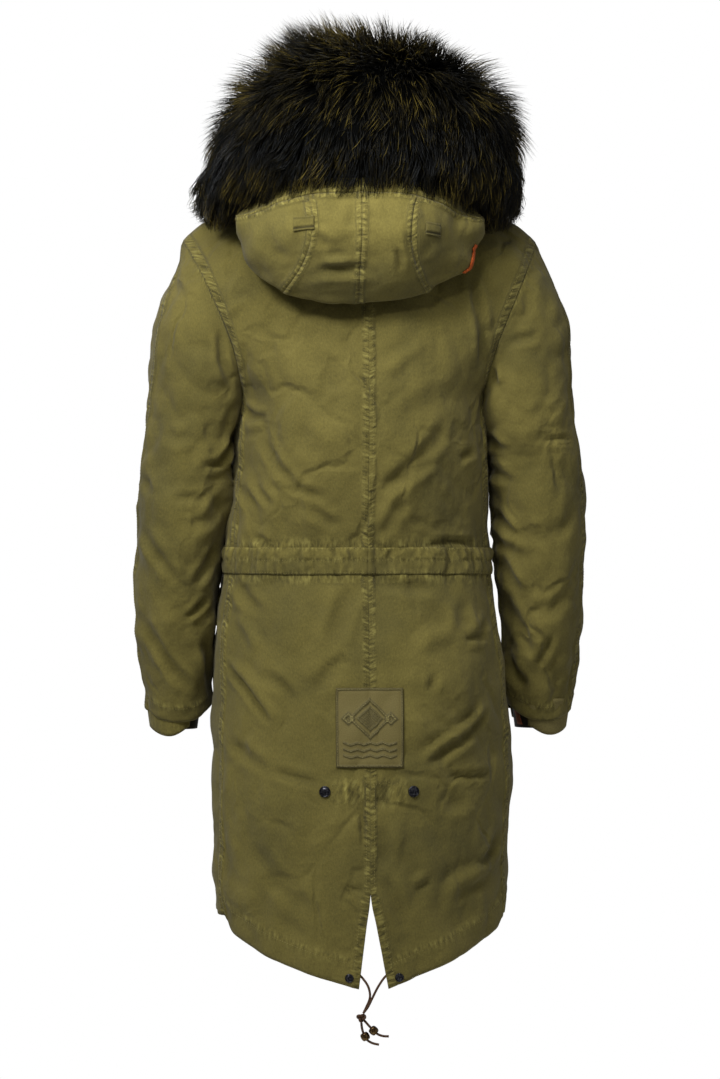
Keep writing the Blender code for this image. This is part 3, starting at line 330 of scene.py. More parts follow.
sleeveCreases = {1: [
    (8, -6, (208, -316), (184, -311), (172, -291), (156, -255)),
    (7, 3, (193, -325), (168, -295), (155, -274)),
    (9, -4, (182, -139), (180, -181), (168, -215)),
    (12, -2, (254, -270), (235, -281), (214, -272)),
    (8, -2.5, (242, -355), (195, -354)),
    (8, -3.5, (278, -323), (263, -352)),
    (9, -4.5, (278, -386), (256, -430), (229, -466)),
    (6, -5, (228, -507), (212, -496), (196, -479)),
    (10, -4.5, (219, -470), (199, -443), (179, -411)),
    (10, -5, (282, -496), (256, -555), (218, -604)),
    (9, 3, (269, -536), (244, -586)),
    (9, -3.5, (205, -525), (195, -596)),
    (12, -3, (176, -350), (197, -380), (223, -392)),
], -1: [
    (7, -6, (-159, -186), (-166, -213)),
    (10, -3, (-181, -157), (-224, -148)),
    (8, -5, (-160, -270), (-178, -296)),
    (9, -4, (-160, -310), (-188, -337)),
    (7, -3, (-226, -283), (-266, -276)),
    (8, -5, (-163, -366), (-195, -406)),
    (10, -5, (-168, -424), (-203, -479)),
    (10, 2.5, (-165, -392), (-211, -422)),
    (9, -4, (-189, -560), (-216, -601)),
    (9, -4, (-246, -527), (-223, -575)),
    (14, -2, (-266, -380), (-232, -405), (-203, -401)),
    (14, -2.5, (-271, -473), (-241, -498), (-211, -502)),
    (10, -3, (-177, -477), (-207, -527), (-220, -561)),
]}
frontCreases = [
    (14, -4.5, (150, -105), (110, -150), (62, -190)),
    (13, -4.5, (-148, -110), (-105, -158), (-60, -202)),
    (10, -5, (140, -262), (112, -310), (78, -342)),
    (10, 3, (128, -240), (98, -276)),
    (11, -5, (-138, -270), (-108, -305), (-70, -352)),
    (9, -4, (-150, -352), (-118, -372)),
    (9, -4, (148, -345), (120, -380)),
    (10, -3.5, (75, -372), (60, -405)),
    (10, -3.5, (-60, -378), (-82, -408)),
    (16, -4.5, (140, -560), (100, -610), (70, -640)),
    (16, 3.5, (110, -560), (80, -600)),
    (18, -5, (-130, -560), (-98, -620), (-75, -660)),
    (14, -4, (105, -700), (85, -770), (66, -845)),
    (14, -4, (-110, -715), (-88, -790), (-72, -850)),
    (12, 3, (-135, -740), (-120, -820)),
    (12, 3, (142, -700), (128, -800)),
    (10, -3, (168, -620), (150, -690)),
    (10, -3, (-165, -640), (-150, -720)),
]


def neckline(share, isBack):
    # Quarter of the neck edge, from its middle, 0, to the side of the neck, 1.
    angle = share * pi / 2
    middle = nape if isBack else throat
    rise = 1 - cos(angle) ** (1.0 if isBack else 1.3)
    height = mix(middle.z, body["neckSideZ"], rise)
    return Vector((body["neckHalf"] * sin(angle), middle.y * cos(angle), height))


def shoulderSeam(share):
    drop = 0.55 * share + 0.45 * share ** 6
    return Vector((mix(body["neckHalf"], shoulder.x, share), 0.0, mix(body["neckSideZ"], shoulder.z, drop)))


def topEdge(column, isBack):
    if column <= neckColumns:
        return neckline(column / neckColumns, isBack)
    return shoulderSeam((column - neckColumns) / shoulderColumns)


def bodyRow(z, column, isBack):
    # Point of a body section below the armpit, before the hem's curve.
    halfWidth, back, front, seam = (torso.at(z, name) for name in ("halfWidth", "back", "front", "seam"))
    edge = radians(seam if isBack else 180 - seam)
    angle = edge * column / bodyColumns
    power = 2 / body["squareness"]
    deep = copysign(abs(cos(angle)) ** power, cos(angle))
    if not isBack:
        deep = -deep
    depth = back if deep > 0 else front
    return Vector((halfWidth * sin(angle) ** power, depth * deep, z))


def lowerPoint(row, column, isBack, side):
    z = lowerRows[row]
    share = (body["waistBottomZ"] - z) / (body["waistBottomZ"] - body["sideHemZ"])
    follow = 1 - (1 - share) ** 1.6 if share > 0 else 0.0
    across = bodyRow(z, column, isBack).x / bodyRow(z, bodyColumns, isBack).x
    curve = (1 - min(across, 1.0)) ** body["hemCurve"][side]
    rise = -body["fishtailDrop"] if isBack else body["frontHemRise"]
    point = bodyRow(z + rise * curve * follow, column, isBack)
    if isBack and row < slitRow:
        top = lowerPoint(slitRow, 0, True, side).z
        foot = body["sideHemZ"] - body["fishtailDrop"]
        opening = max((top - point.z) / (top - foot), 0.0)
        point.x += opening * (body["slitHalf"] + side * body["slitSway"]) * (1 - column / bodyColumns) ** 3
    return point


def upperPoint(t, column, isBack):
    centre = (centreBack if isBack else centreFront)
    middle = Vector((0.0, centre.at(t, "y"), centre.at(t, "z")))
    edge = (armholeBack if isBack else armholeFront).point(t)
    foot = bodyRow(body["armpitZ"], column, isBack)
    footEdge = bodyRow(body["armpitZ"], bodyColumns, isBack)
    footMiddle = bodyRow(body["armpitZ"], 0, isBack)
    top = topEdge(column, isBack)
    topMiddle = topEdge(0, isBack)
    share = column / bodyColumns
    blend = t ** 2
    beyond = max(foot.x / footEdge.x - 1, 0.0) * (1 - max(1 - 6 * t, 0.0))
    across = mix(foot.x / footEdge.x - beyond, top.x / shoulder.x, blend)
    deep = mix((foot.y - footEdge.y) / (footMiddle.y - footEdge.y), top.y / topMiddle.y, blend)
    lift = (top.z - mix(topMiddle.z, shoulder.z, share)) * blend
    return Vector((edge.x * across, mix(edge.y, middle.y, deep), mix(middle.z, edge.z, share) + lift))


def mirrored(points, side):
    return points * np.array((side, 1.0, 1.0))


def sleeveRing(z, turn, side):
    # Point of the left sleeve: turn 0 at its outer side, 0.25 behind, 0.5 at the body, 0.75 in front.
    inner, outer, middle, halfDepth = (sleeveShape.at(z, n) for n in ("inner", "outer", "middle", "halfDepth"))
    outer += sleeve["rightFuller"] if side < 0 else 0.0
    angle = 2 * pi * turn
    return Vector(((inner + outer) / 2 + (outer - inner) / 2 * cos(angle),
                   middle + halfDepth * sin(angle), z))


def armhole(turn):
    half = turn % 1.0
    if half <= 0.5:
        return armholeBack.point(1 - half * 2)
    return armholeFront.point(half * 2 - 1)


def capPoint(turn, share, side):
    # The sleeve's cap, from the armhole, share 0, to its first level ring, share 1.
    start = armhole(turn)
    end = sleeveRing(sleeve["topZ"], turn, side)
    angle = 2 * pi * turn
    reach = (end - start).length
    offRidge = min(abs(turn - round(turn)) / 0.05, 1.0)
    out, swing, across = sleeve["capLeave"]
    outwards = out + swing * cos(angle) + sleeve["capFullness"] * offRidge * max(cos(angle), 0.0)
    leave = Vector((outwards, across * sin(angle), -1.0)).normalized() * reach
    below = sleeveRing(sleeve["topZ"] - 0.02, turn, side)
    arrive = (below - end).normalized() * reach
    t = share
    return (start * ((1 + 2 * t) * (1 - t) ** 2) + end * (t * t * (3 - 2 * t))
            + leave * (t * (1 - t) ** 2) + arrive * (t * t * (t - 1)))


def outerSeam(share, side):
    # Turn at which the sleeve's outer seam lies, from the shoulder, 0, to the cuff, 1.
    turned = sleeve["seamTurn"] * sin(pi / 2 * min(share / 0.25, 1.0))
    return turned if side < 0 else turned * (1 - sleeve["leftSeamBack"] * min(max(share - 0.2, 0.0) / 0.3, 1.0))


def ruffCentre(c, side):
    # Middle of the ruff, c along it, as if on the left.
    return ruffShape.point(c) + Vector((ruffLean.at(c, "moreLeft" if side > 0 else "moreRight"), 0.0, 0.0))


def ruffFrame(c, side):
    # The ruff's middle, the way out from it, and how its section leans.
    centre = ruffCentre(c, side)
    lean = ruffLean.at(c, "leanLeft" if side > 0 else "leanRight")
    return centre, Vector((centre.x, centre.y, 0.0)).normalized(), lean


def ruffPoint(c, turn, side, grow=0.0):
    # Point on the ruff's skin: turn in degrees, 0 outwards, 90 up, -90 down.
    centre, out, lean = ruffFrame(c, side)
    angle = radians(turn)
    radial = ruffShape.at(c, "radial") + grow
    tall = ruffShape.at(c, "tall") + grow
    across, up = cos(angle), sin(angle)
    if up < 0:
        power = 2 / ruff["footSquareness"]
        across = copysign(abs(across) ** power, across)
        up = -abs(up) ** power
    rise = tall * up
    return centre + out * (radial * across - lean * rise) + Vector((0.0, 0.0, rise))


def neckEdge(c):
    # Foot of the hood, on the straight stretches of the body's neck edge.
    low = min(int(c), 7)
    ends = [neckline(k / 4, True) if k <= 4 else neckline((8 - k) / 4, False) for k in (low, low + 1)]
    return ends[0].lerp(ends[1], c - low) + Vector((0.0, 0.0, hood["neckLift"]))


hoodSway = Table("s x", [(0.0, 0.0), (0.1, 0.0), (0.38, 0.014), (0.75, 0.013), (1.0, 0.0)])
hoodPath = (0.0, 0.1, 0.22, 0.34, 0.43, 0.68, 1.0)  # neck, stand, over, fold's two sides, belly, rim


def nearestSeat(c, side):
    # Turn of the place on the ruff that is nearest to the neck edge.
    neck = neckEdge(c)
    return min(range(-200, -80, 2), key=lambda turn: (ruffPoint(c, turn, side) - neck).length)


ruffStations = [k / 8 for k in range(65)]


def clearOfRuff(place, side, grow):
    # The place, moved straight out of the ruff where it would lie in it.
    c = min(ruffStations, key=lambda c: ((ruffCentre(c, side) - place) * Vector((1.0, 1.0, 0.0))).length)
    centre, out, lean = ruffFrame(c, side)
    away = place - centre
    rise = away.z
    across = away.dot(out) + lean * rise
    power = ruff["footSquareness"] if rise < 0 else 2.0
    radial = ruffShape.at(c, "radial") + grow
    tall = ruffShape.at(c, "tall") + grow
    fill = abs(across / radial) ** power + abs(rise / tall) ** power
    if fill >= 1:
        return place
    stretch = fill ** (-1 / power) - 1
    return place + out * ((across - lean * rise) * stretch) + Vector((0.0, 0.0, rise * stretch))


def hoodPoint(s, c, side):
    neck = neckEdge(c)
    fold = hoodShape.point(c, "fold")
    belly = hoodShape.point(c, "belly")
    front = min(max(c - 3.5, 0.0) / 0.6, 1.0)
    seat = mix(hoodShape.at(c, "seat"), nearestSeat(c, side), front)
    rim = ruffPoint(c, seat, side, mix(*hood["rimGap"], min(max(c - 2.3, 0.0) / 0.5, 1.0)))
    stand = neck + (fold - neck) * 0.1 + Vector((0.0, 0.0, hood["standRise"]))
    over = neck.lerp(fold, 0.45) + Vector((0.0, 0.0, hood["overRise"]))
    out = (belly - fold) * Vector((1.0, 1.0, 0.0))
    out.normalize()
    rounding = hood["foldRound"] * min((belly - fold).length / 0.04, 1.0)
    under = fold - out * rounding
    outer = fold + out * rounding + Vector((0.0, 0.0, 0.7 * rounding))
    stops = [neck, stand, over, under, outer, belly, rim]
    path = Table("s x y z", [(at, *stop) for at, stop in zip(hoodPath, stops)])
    arch = neck.lerp(rim, s) + Vector((0.0, 0.0, hood["arch"] * sin(pi * s)))
    place = path.point(s).lerp(arch, front * front * (3 - 2 * front))
    return place if s >= 1 else clearOfRuff(place, side, hood["ruffGap"])


def bagPlace(s, c, side):
    # The bag hangs a little to the wearer's left.
    place = hoodPoint(s, c, side)
    sway = hoodSway.at(s, "x") * min(max(3.4 - c, 0.0), 1.0)
    if side < 0:
        sway *= 1 + 0.8 * min(max(c - 1.4, 0.0), 1.0)
    return np.array((place.x * side + sway, place.y, place.z))


# cloth panels: each is a grid of points, rows from its foot up and columns from its first edge

hands = ((1, "left"), (-1, "right"))
halves = ((True, "back"), (False, "front"))
panels = {}
seamShape = {"roll": 0.0026, "groove": 0.0009, "grooveWidth": 0.0013, "fade": 0.0035,
             "hemFrom": 0.015, "hemPucker": (0.8, 0.005), "foldPucker": (0.25, 0.004)}
creaseShape = {"sharp": 0.64, "taper": 0.3, "core": 0.85, "bank": 0.55, "bankAt": 1.7, "bankWidth": 0.75}
crumpleShape = {"swell": 1.8, "ridge": 3.2, "valley": 0.8}
# limits of the painted shade in the hollows and the painted light on the ridges
paintedShadeRange = (-1.3, 1.2)  # darkest hollow and palest ridge that the cloth's shade knows


def bell(value, width, power=2):
    return np.exp(-(value / width) ** power)


def gridOf(rows, columns, point):
    return np.array([[point(r / rows, c / columns) for c in range(columns + 1)] for r in range(rows + 1)])


def normalsOf(points, facing):
    return unit(np.cross(np.gradient(points, axis=1), np.gradient(points, axis=0))) * facing


def stationsOf(steps):  # how finely each interval is divided
    return np.concatenate([[k + j / n for j in range(n)] for k, n in enumerate(steps)] + [[len(steps)]])


def alongRows(points, stations):  # smooth curves through the rows
    slopes = np.gradient(points, axis=0)
    low = np.clip(stations.astype(int), 0, len(points) - 2)
    t = (stations - low).reshape(-1, *[1] * (points.ndim - 1))
    return (points[low] * (1 + 2 * t) * (1 - t) ** 2 + points[low + 1] * t * t * (3 - 2 * t)
            + slopes[low] * t * (1 - t) ** 2 + slopes[low + 1] * t * t * (t - 1))


def denser(points, rowSteps, columnSteps):
    finer = alongRows(points, stationsOf(rowSteps))
    return alongRows(finer.swapaxes(0, 1), stationsOf(columnSteps)).swapaxes(0, 1)


def runOf(line):  # distance along a line of points
    return np.concatenate(([0.0], np.cumsum(np.linalg.norm(np.diff(line, axis=0), axis=1))))


def readAlong(values, at, run=None):  # what a line's values are at these distances along it
    run = runOf(values) if run is None else run
    return np.stack([np.interp(at, run, column) for column in values.T], axis=1)


def metricColumns(points, near, count):  # columns at these distances from both edges, and evenly between them
    rows = []
    for line in points:
        total = runOf(line)[-1]
        edge = np.array(near) * min(1.0, 0.4 * total / near[-1])  # a narrow row has them closer together
        between = np.linspace(edge[-1], total - edge[-1], count)[1:-1]
        rows.append(readAlong(line, np.concatenate((edge, between, (total - edge)[::-1]))))
    return np.array(rows)


def distancesOf(points):
    across, up = np.zeros(points.shape[:2]), np.zeros(points.shape[:2])
    across[:, 1:] = np.cumsum(np.linalg.norm(np.diff(points, axis=1), axis=-1), axis=1)
    up[1:] = np.cumsum(np.linalg.norm(np.diff(points, axis=0), axis=-1), axis=0)
    return across, up


def addPanel(name, points, facing, wall, side):
    across, up = distancesOf(points)
    panels[name] = {"points": points, "facing": facing, "wall": wall, "side": side, "across": across, "up": up,
                    "normals": normalsOf(points, facing), "seam": np.zeros(points.shape)}
    for layer in ("lift", "mask", "fold"):
        panels[name][layer] = np.zeros(points.shape[:2])
    return panels[name]


def fromEdge(grid, edge):  # the grid turned so that the edge is its first column
    turned = grid if edge in ("first", "last") else grid.swapaxes(0, 1)
    return turned if edge in ("first", "foot") else turned[:, ::-1]


def edgeDistance(panel, edge):  # distance from the edge, and along it
    across, up = panel["across"], panel["up"]
    return {"first": (across, up), "last": (across[:, -1:] - across, up),
            "foot": (up, across), "head": (up[-1:] - up, across)}[edge]


def markSeam(panel, mask, place):  # how much the cloth puckers, and along which line the ripples run
    nearer = mask > panel["mask"]
    panel["seam"][nearer] = place[nearer]
    panel["mask"] = np.maximum(panel["mask"], mask)


def raiseCloth(panel, lift, depth):  # a fold, and the shade of its hollows
    panel["lift"] += lift
    # the fold layer is painted shade in the hollows and painted light on the ridges
    panel["fold"] += lift / depth


def sewEdge(panel, edge, width, rise=shell["seamRise"], where=1.0, groove=seamShape["groove"]):
    # the seam's layers stand up beside the edge, and pucker between the stitches
    distance, along = edgeDistance(panel, edge)
    band = rise * (1 - smooth((distance - width) / seamShape["roll"]))
    panel["lift"] += (band - groove * bell(distance, seamShape["grooveWidth"])) * where
    mask = 1 - smooth((distance - width) / seamShape["fade"])
    if np.max(width) > seamShape["hemFrom"]:  # a hem puckers only beside its stitches, and a little at its fold
        (much, near), (little, atFold) = seamShape["hemPucker"], seamShape["foldPucker"]
        mask = much * bell(distance - width, near) + little * bell(distance, atFold)
    place = np.stack((along, distance * panel["side"], np.full(distance.shape, width)), axis=-1)
    markSeam(panel, mask * where, place)


def creaseLift(points, creases):
    # each crease in mm: half width, height (a trough is below 0), and the line it follows as seen from behind
    flat = points[..., [0, 2]]
    total = np.zeros(points.shape[:-1])
    for width, height, *stops in creases:
        stops = np.array(stops) / 1000
        run = runOf(stops)
        nearest = np.full(total.shape, 1e9)
        share = np.zeros(total.shape)
        for k in range(len(stops) - 1):
            step = stops[k + 1] - stops[k]
            t = np.clip(((flat - stops[k]) @ step) / (step @ step), 0.0, 1.0)
            away = np.linalg.norm(flat - stops[k] - t[..., None] * step, axis=-1)
            closer = away < nearest
            nearest[closer] = away[closer]
            share[closer] = ((run[k] + t * (run[k + 1] - run[k])) / run[-1])[closer]
        away = nearest / (width / 1000 * creaseShape["sharp"])
        taper = smooth(np.minimum(share, 1 - share) / creaseShape["taper"])
        bank = creaseShape["bank"] * bell(away - creaseShape["bankAt"], creaseShape["bankWidth"])
        total += height / 1000 * taper * (bell(away, creaseShape["core"]) - bank)
    return total


def crumple(points, scale, amount, seed, ridged=False):  # how often along x, y and z, how high, and which noise
    often, shift = Vector(scale), Vector((seed, 0.0, seed * 0.7))
    values = np.array([noise.noise(Vector(p) * often + shift) for p in points.reshape(-1, 3)])
    values = values.reshape(points.shape[:-1])
    if ridged:
        return amount * (np.abs(values) * crumpleShape["ridge"] - crumpleShape["valley"])
    return amount * values * crumpleShape["swell"]


def crumpled(points, layers):
    return sum(crumple(points, *layer) for layer in layers)


def fadeNear(panel, edges, reach, least=0.0):
    kept = np.ones(panel["across"].shape)
    for edge in edges:
        kept *= least + (1 - least) * smooth(edgeDistance(panel, edge)[0] / reach)
    return kept


def settle(panel):
    panel["fold"] = np.clip(panel["fold"], *paintedShadeRange)
    panel["points"] = panel["points"] + panel["normals"] * panel["lift"][..., None]
    panel["normals"] = normalsOf(panel["points"], panel["facing"])


def weld(a, edgeA, b, edgeB, rows=slice(None)):  # two panels meet along one line
    first = fromEdge(panels[a]["points"], edgeA)[rows, 0]
    second = fromEdge(panels[b]["points"], edgeB)[rows, 0]
    first[...] = second[...] = (first + second) / 2


def meshFrom(mesh, name, soft=True):
    data = bpy.data.meshes.new(name)
    mesh.to_mesh(data)
    mesh.free()
    if soft:
        data.shade_smooth()
    return data


def gridMesh(name, points, facing):
    rows, columns = points.shape[0] - 1, points.shape[1] - 1
    mesh = bmesh.new()
    bmesh.ops.create_grid(mesh, x_segments=columns, y_segments=rows, size=0.5)
    flat = points.reshape(-1, 3)
    order = []
    for vert in mesh.verts:
        order.append(round((vert.co.y + 0.5) * rows) * (columns + 1) + round((vert.co.x + 0.5) * columns))
        vert.co = flat[order[-1]]
    if facing < 0:
        bmesh.ops.reverse_faces(mesh, faces=mesh.faces[:])
    return meshFrom(mesh, name), np.array(order)


def addPiece(name, data, materials, replaced=()):
    piece = inScene(name, data)
    for made in materials:
        data.materials.append(made)
    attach(piece, "root")
    if replaced:
        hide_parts(*replaced)
    return piece


def clothPiece(name, points, facing, wall, materials, replaced, sheet, mask=0.0, seam=0.0,
               fold=0.0, maps=None):
    data, order = gridMesh(name, points, facing)
    across, up = distancesOf(points) if maps is None else maps
    corner = np.zeros(len(data.loops), np.int32)
    data.loops.foreach_get("vertex_index", corner)
    uv = np.stack((across.reshape(-1)[order], up.reshape(-1)[order]), axis=-1)
    data.uv_layers.new(name="cloth").data.foreach_set("uv", uv[corner].reshape(-1).astype(np.float32))
    # fold carries the painted shade and painted light of the cloth's hollows and ridges
    for key, values, kind, field, size in (("mask", mask, "FLOAT", "value", 1),
                                           ("fold", fold, "FLOAT", "value", 1),
                                           ("seam", seam, "FLOAT_VECTOR", "vector", 3)):
        values = np.broadcast_to(values, points.shape if size == 3 else points.shape[:2])
        layer = data.attributes.new(key, kind, "POINT")
        layer.data.foreach_set(field, values.reshape(-1, size)[order].reshape(-1).astype(np.float32))
    piece = addPiece(name, data, materials, replaced)
    wallMaker = piece.modifiers.new("wall", "SOLIDIFY")
    wallMaker.thickness = wall
    wallMaker.offset = -1.0
    wallMaker.use_even_offset = False
    wallMaker.material_offset = 1 if len(materials) > 1 else 0
    declareSheet(piece, points, *sheet)


sheetRule = {"allowanceShare": 0.07, "least": 0.0102, "fill": 0.999}


def declareSheet(piece, points, held, restsOn, allowance=0.01):
    # the flat cut of what shows, with its seam allowance
    steps = np.cross(np.diff(points[:-1], axis=1), np.diff(points[:, :-1], axis=0))
    area = float(np.linalg.norm(steps, axis=-1).sum())
    width = float(distancesOf(points)[0][:, -1].mean())
    length = area / width
    allowance = min(allowance, sheetRule["allowanceShare"] * min(width, length))
    width, length = (max(size + 2 * allowance, sheetRule["least"]) for size in (width, length))
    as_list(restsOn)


# materials

def mathOf(made, operation, *values):
    total = values[0]
    for value in values[1:]:
        total = addNode(made, "Math", {"operation": operation}, {0: total, 1: value}).outputs[0]
    return total


def scaledBy(made, vector, scale):
    return addNode(made, "VectorMath", {"operation": "MULTIPLY"}, {0: vector, 1: scale}).outputs[0]


def placeOf(made):
    return addNode(made, "TexCoord").outputs["Object"]


def attributeOf(made, name, socket="Fac"):
    return addNode(made, "Attribute", {"attribute_name": name}).outputs[socket]


def noiseOf(made, vector, scale, detail=3.0, roughness=0.55):
    return addNode(made, "TexNoise", None,
                   {"Vector": vector, "Scale": scale, "Detail": detail, "Roughness": roughness}).outputs["Fac"]


def yarnOf(made, scale, detail=2.0, roughness=0.55):  # noise drawn out along the cloth's own threads
    flat = addNode(made, "UVMap", {"uv_map": "cloth"}).outputs["UV"]
    return noiseOf(made, scaledBy(made, flat, scale), 1.0, detail, roughness)


def mapped(made, value, low, high, toLow=0.0, toHigh=1.0, kind="LINEAR"):
    sockets = {"Value": value, "From Min": low, "From Max": high, "To Min": toLow, "To Max": toHigh}
    return addNode(made, "MapRange", {"clamp": True, "interpolation_type": kind}, sockets).outputs[0]


def mixed(made, share, a, b, kind="MIX"):
    return addNode(made, "Mix", {"data_type": "RGBA", "blend_type": kind},
                   {"Factor": share, "A": a, "B": b}).outputs["Result"]


def ramped(made, value, *stops):
    return addNode(made, "ValToRGB", None, {"Fac": value}, stops).outputs["Color"]


def finished(made, sockets, height=None):  # the surface's shader with its bump
    if height is not None:
        sockets["Normal"] = addNode(made, "Bump", None,
                                    {"Strength": 1.0, "Distance": 1.0, "Height": height}).outputs["Normal"]
    shader = addNode(made, "BsdfPrincipled", None, sockets)
    addNode(made, "OutputMaterial", None, {"Surface": shader.outputs["BSDF"]})
    return made


# Garment dyed cotton and nylon poplin: the dye takes unevenly and wears pale on the seams. Painted shade darkens
# the puckers' and folds' hollows and painted light brightens fold ridges, so that the flat panels look soft and
# the seams look crisp. Heights are in metres.
# fold is the colour of the painted shade in the pucker hollows
cloth = {"dark": "#5a5327", "middle": "#69602c", "light": "#766c34", "worn": "#968d4b", "fold": "#3b3614",
         "roughness": 0.86, "specular": 0.25, "sheen": 0.06, "wornShare": 0.64, "puckerShadeShare": 0.75,
         "pucker": 0.0017, "crumple": 0.0026, "packed": 0.0028, "thread": 0.00014,
         "warp": (330.0, 1300.0, 1.0), "weft": (1300.0, 200.0, 1.0), "fleck": (420.0, 260.0, 1.0),
         "ripple": (250.0, 70.0, 1.0), "cells": (13.0, 6.0, 8.5), "cellWarp": (0.16, 0.16, 0.16)}


def makeShellCloth(name):
    made = newMaterial(name)
    place = placeOf(made)
    mask = attributeOf(made, "mask")
    dyed = ramped(made, noiseOf(made, place, 7.0, 4.0, 0.6),
                  (0.3, cloth["dark"]), (0.5, cloth["middle"]), (0.72, cloth["light"]))
    # threads drawn four times coarser than real, so that they can still be seen from a few metres
    threads = mathOf(made, "ADD", yarnOf(made, cloth["warp"]), yarnOf(made, cloth["weft"]))
    dyed = mixed(made, 1.0, dyed, mapped(made, threads, 0.7, 1.3, 0.86, 1.13), "MULTIPLY")
    # flecks of paler and darker yarn, drawn a few threads wide for the same reason
    fleck = yarnOf(made, cloth["fleck"], 5.0, 0.7)
    dyed = mixed(made, 1.0, dyed, mapped(made, fleck, 0.3, 0.7, 0.82, 1.18), "MULTIPLY")
    # puckers along the seams: worn pale on top, with painted shade in their hollows
    ripple = noiseOf(made, scaledBy(made, attributeOf(made, "seam", "Vector"), cloth["ripple"]), 1.0, 2.0, 0.5)
    worn = mathOf(made, "MULTIPLY", mapped(made, ripple, 0.52, 0.66), mask, cloth["wornShare"])
    dyed = mixed(made, worn, dyed, hexColour(cloth["worn"]))
    # painted shade: the pucker hollows are darkened towards the fold colour
    sunk = mathOf(made, "MULTIPLY", mapped(made, ripple, 0.47, 0.34), mask, cloth["puckerShadeShare"])
    dyed = mixed(made, sunk, dyed, hexColour(cloth["fold"]))
    # painted shade in the folds' hollows and painted light on their ridges, from the fold attribute
    foldShade = mapped(made, attributeOf(made, "fold"), -3.0, 1.2, 0.2, 1.2)
    dyed = mixed(made, 1.0, dyed, foldShade, "MULTIPLY")
    # packing creases: the edges of large warped cells, only where a second noise lets them through
    warp = addNode(made, "TexNoise", None, {"Vector": place, "Scale": 9.0, "Detail": 3.0}).outputs["Color"]
    warped = addNode(made, "VectorMath", {"operation": "MULTIPLY_ADD"},
                     {0: warp, 1: cloth["cellWarp"], 2: place}).outputs[0]
    cells = addNode(made, "TexVoronoi", {"feature": "DISTANCE_TO_EDGE"},
                    {"Vector": scaledBy(made, warped, cloth["cells"]), "Scale": 1.0}).outputs["Distance"]
    creases = mapped(made, cells, 0.0, 0.13, kind="SMOOTHSTEP")
    letThrough = mapped(made, noiseOf(made, place, 6.0, 2.0), 0.4, 0.62)
    height = mathOf(made, "ADD",
                    mathOf(made, "MULTIPLY", creases, letThrough, cloth["packed"]),
                    mathOf(made, "MULTIPLY", ripple, mask, cloth["pucker"]),
                    mathOf(made, "MULTIPLY", noiseOf(made, place, 34.0, 6.0, 0.6), cloth["crumple"]),
                    mathOf(made, "MULTIPLY", threads, cloth["thread"]))
    return finished(made, {"Base Color": dyed, "Roughness": cloth["roughness"], "Sheen Weight": cloth["sheen"],
                           "Sheen Roughness": 0.6, "Specular IOR Level": cloth["specular"]}, height)


def makePlainCloth(name, dark, light, roughness, threadScale, thread=0.00012):
    made = newMaterial(name)
    weave = yarnOf(made, (*threadScale, 1.0))
    patches = noiseOf(made, placeOf(made), 22.0, 4.0)
    shade = mathOf(made, "MULTIPLY", mathOf(made, "ADD", weave, patches), 0.5)
    return finished(made, {"Base Color": ramped(made, shade, (0.34, dark), (0.66, light)), "Roughness": roughness,
                           "Specular IOR Level": 0.3}, mathOf(made, "MULTIPLY", weave, thread))


# Embroidered badge cloth: raised satin stitches carry painted sheen and shade streaked along their threads, the
# ground stays flat, and a painted shadow line runs round each stitched shape.
badgeLook = {"ground": ("#5f5428", "#746936"), "satin": ("#2f2a12", "#6f6434", "#aba063"), "motifEdgeShadow": "#3a3417",
             "motifEdgeShadowShare": 2.6, "weave": 0.00015, "thread": 0.0012, "roughness": 0.8}


def makeBadgeCloth():
    made = newMaterial("embroidered badge cotton")
    motif = attributeOf(made, "mask")
    weave = yarnOf(made, (900.0, 900.0, 1.0))
    satin = yarnOf(made, (420.0, 1500.0, 1.0), 1.0)
    ground = ramped(made, weave, *zip((0.3, 0.7), badgeLook["ground"]))
    # the satin ramp paints sheen on the threads' tops and shade between them
    colour = mixed(made, motif, ground, ramped(made, satin, *zip((0.3, 0.48, 0.66), badgeLook["satin"])))
    # painted shadow round the edge of each stitched shape
    outline = mathOf(made, "MULTIPLY", motif, mathOf(made, "SUBTRACT", 1.0, motif), badgeLook["motifEdgeShadowShare"])
    colour = mixed(made, outline, colour, hexColour(badgeLook["motifEdgeShadow"]))
    height = mathOf(made, "ADD", mathOf(made, "MULTIPLY", weave, badgeLook["weave"]),
                    mathOf(made, "MULTIPLY", satin, motif, badgeLook["thread"]))
    return finished(made, {"Base Color": colour, "Roughness": badgeLook["roughness"]}, height)


def makeMetal(name, colour, worn, roughness):
    made = newMaterial(name)
    rub = noiseOf(made, placeOf(made), 420.0, 3.0)
    return finished(made, {"Base Color": ramped(made, rub, (0.4, colour), (0.75, worn)), "Metallic": 1.0,
                           "Roughness": mapped(made, rub, 0.0, 1.0, roughness - 0.08, roughness + 0.12)})


# Dyed raccoon fur: near black at the root and warm olive at the tips of the guard hairs, a little glossy.
furLook = {"dark": ("#030302", "#090804", "#141109"), "pale": ("#060503", "#1c180a", "#7a6a2c", "#3a3216"),
           "tint": "#c3ccd8"}


def makeFur(name, roughness, specular):
    made = newMaterial(name)
    along = attributeOf(made, "along")
    dark = ramped(made, along, *zip((0.0, 0.55, 1.0), furLook["dark"]))
    pale = ramped(made, along, *zip((0.0, 0.42, 0.74, 1.0), furLook["pale"]))
    colour = mixed(made, attributeOf(made, "tone"), dark, pale)
    return finished(made, {"Base Color": colour, "Roughness": roughness, "Specular IOR Level": specular,
                           "Specular Tint": hexColour(furLook["tint"])})


shellCloth = makeShellCloth("garment dyed cotton poplin")
badgeCloth = makeBadgeCloth()
# tightly woven nylon: smooth, a soft shine; a dark lining deepened to near black as painted shade, so that the
# openings read as dark hollows
liningCloth = makePlainCloth("dark nylon lining taffeta, deepened as painted shade", "#1b1813", "#2b2720", 0.55, (500.0, 1400.0))
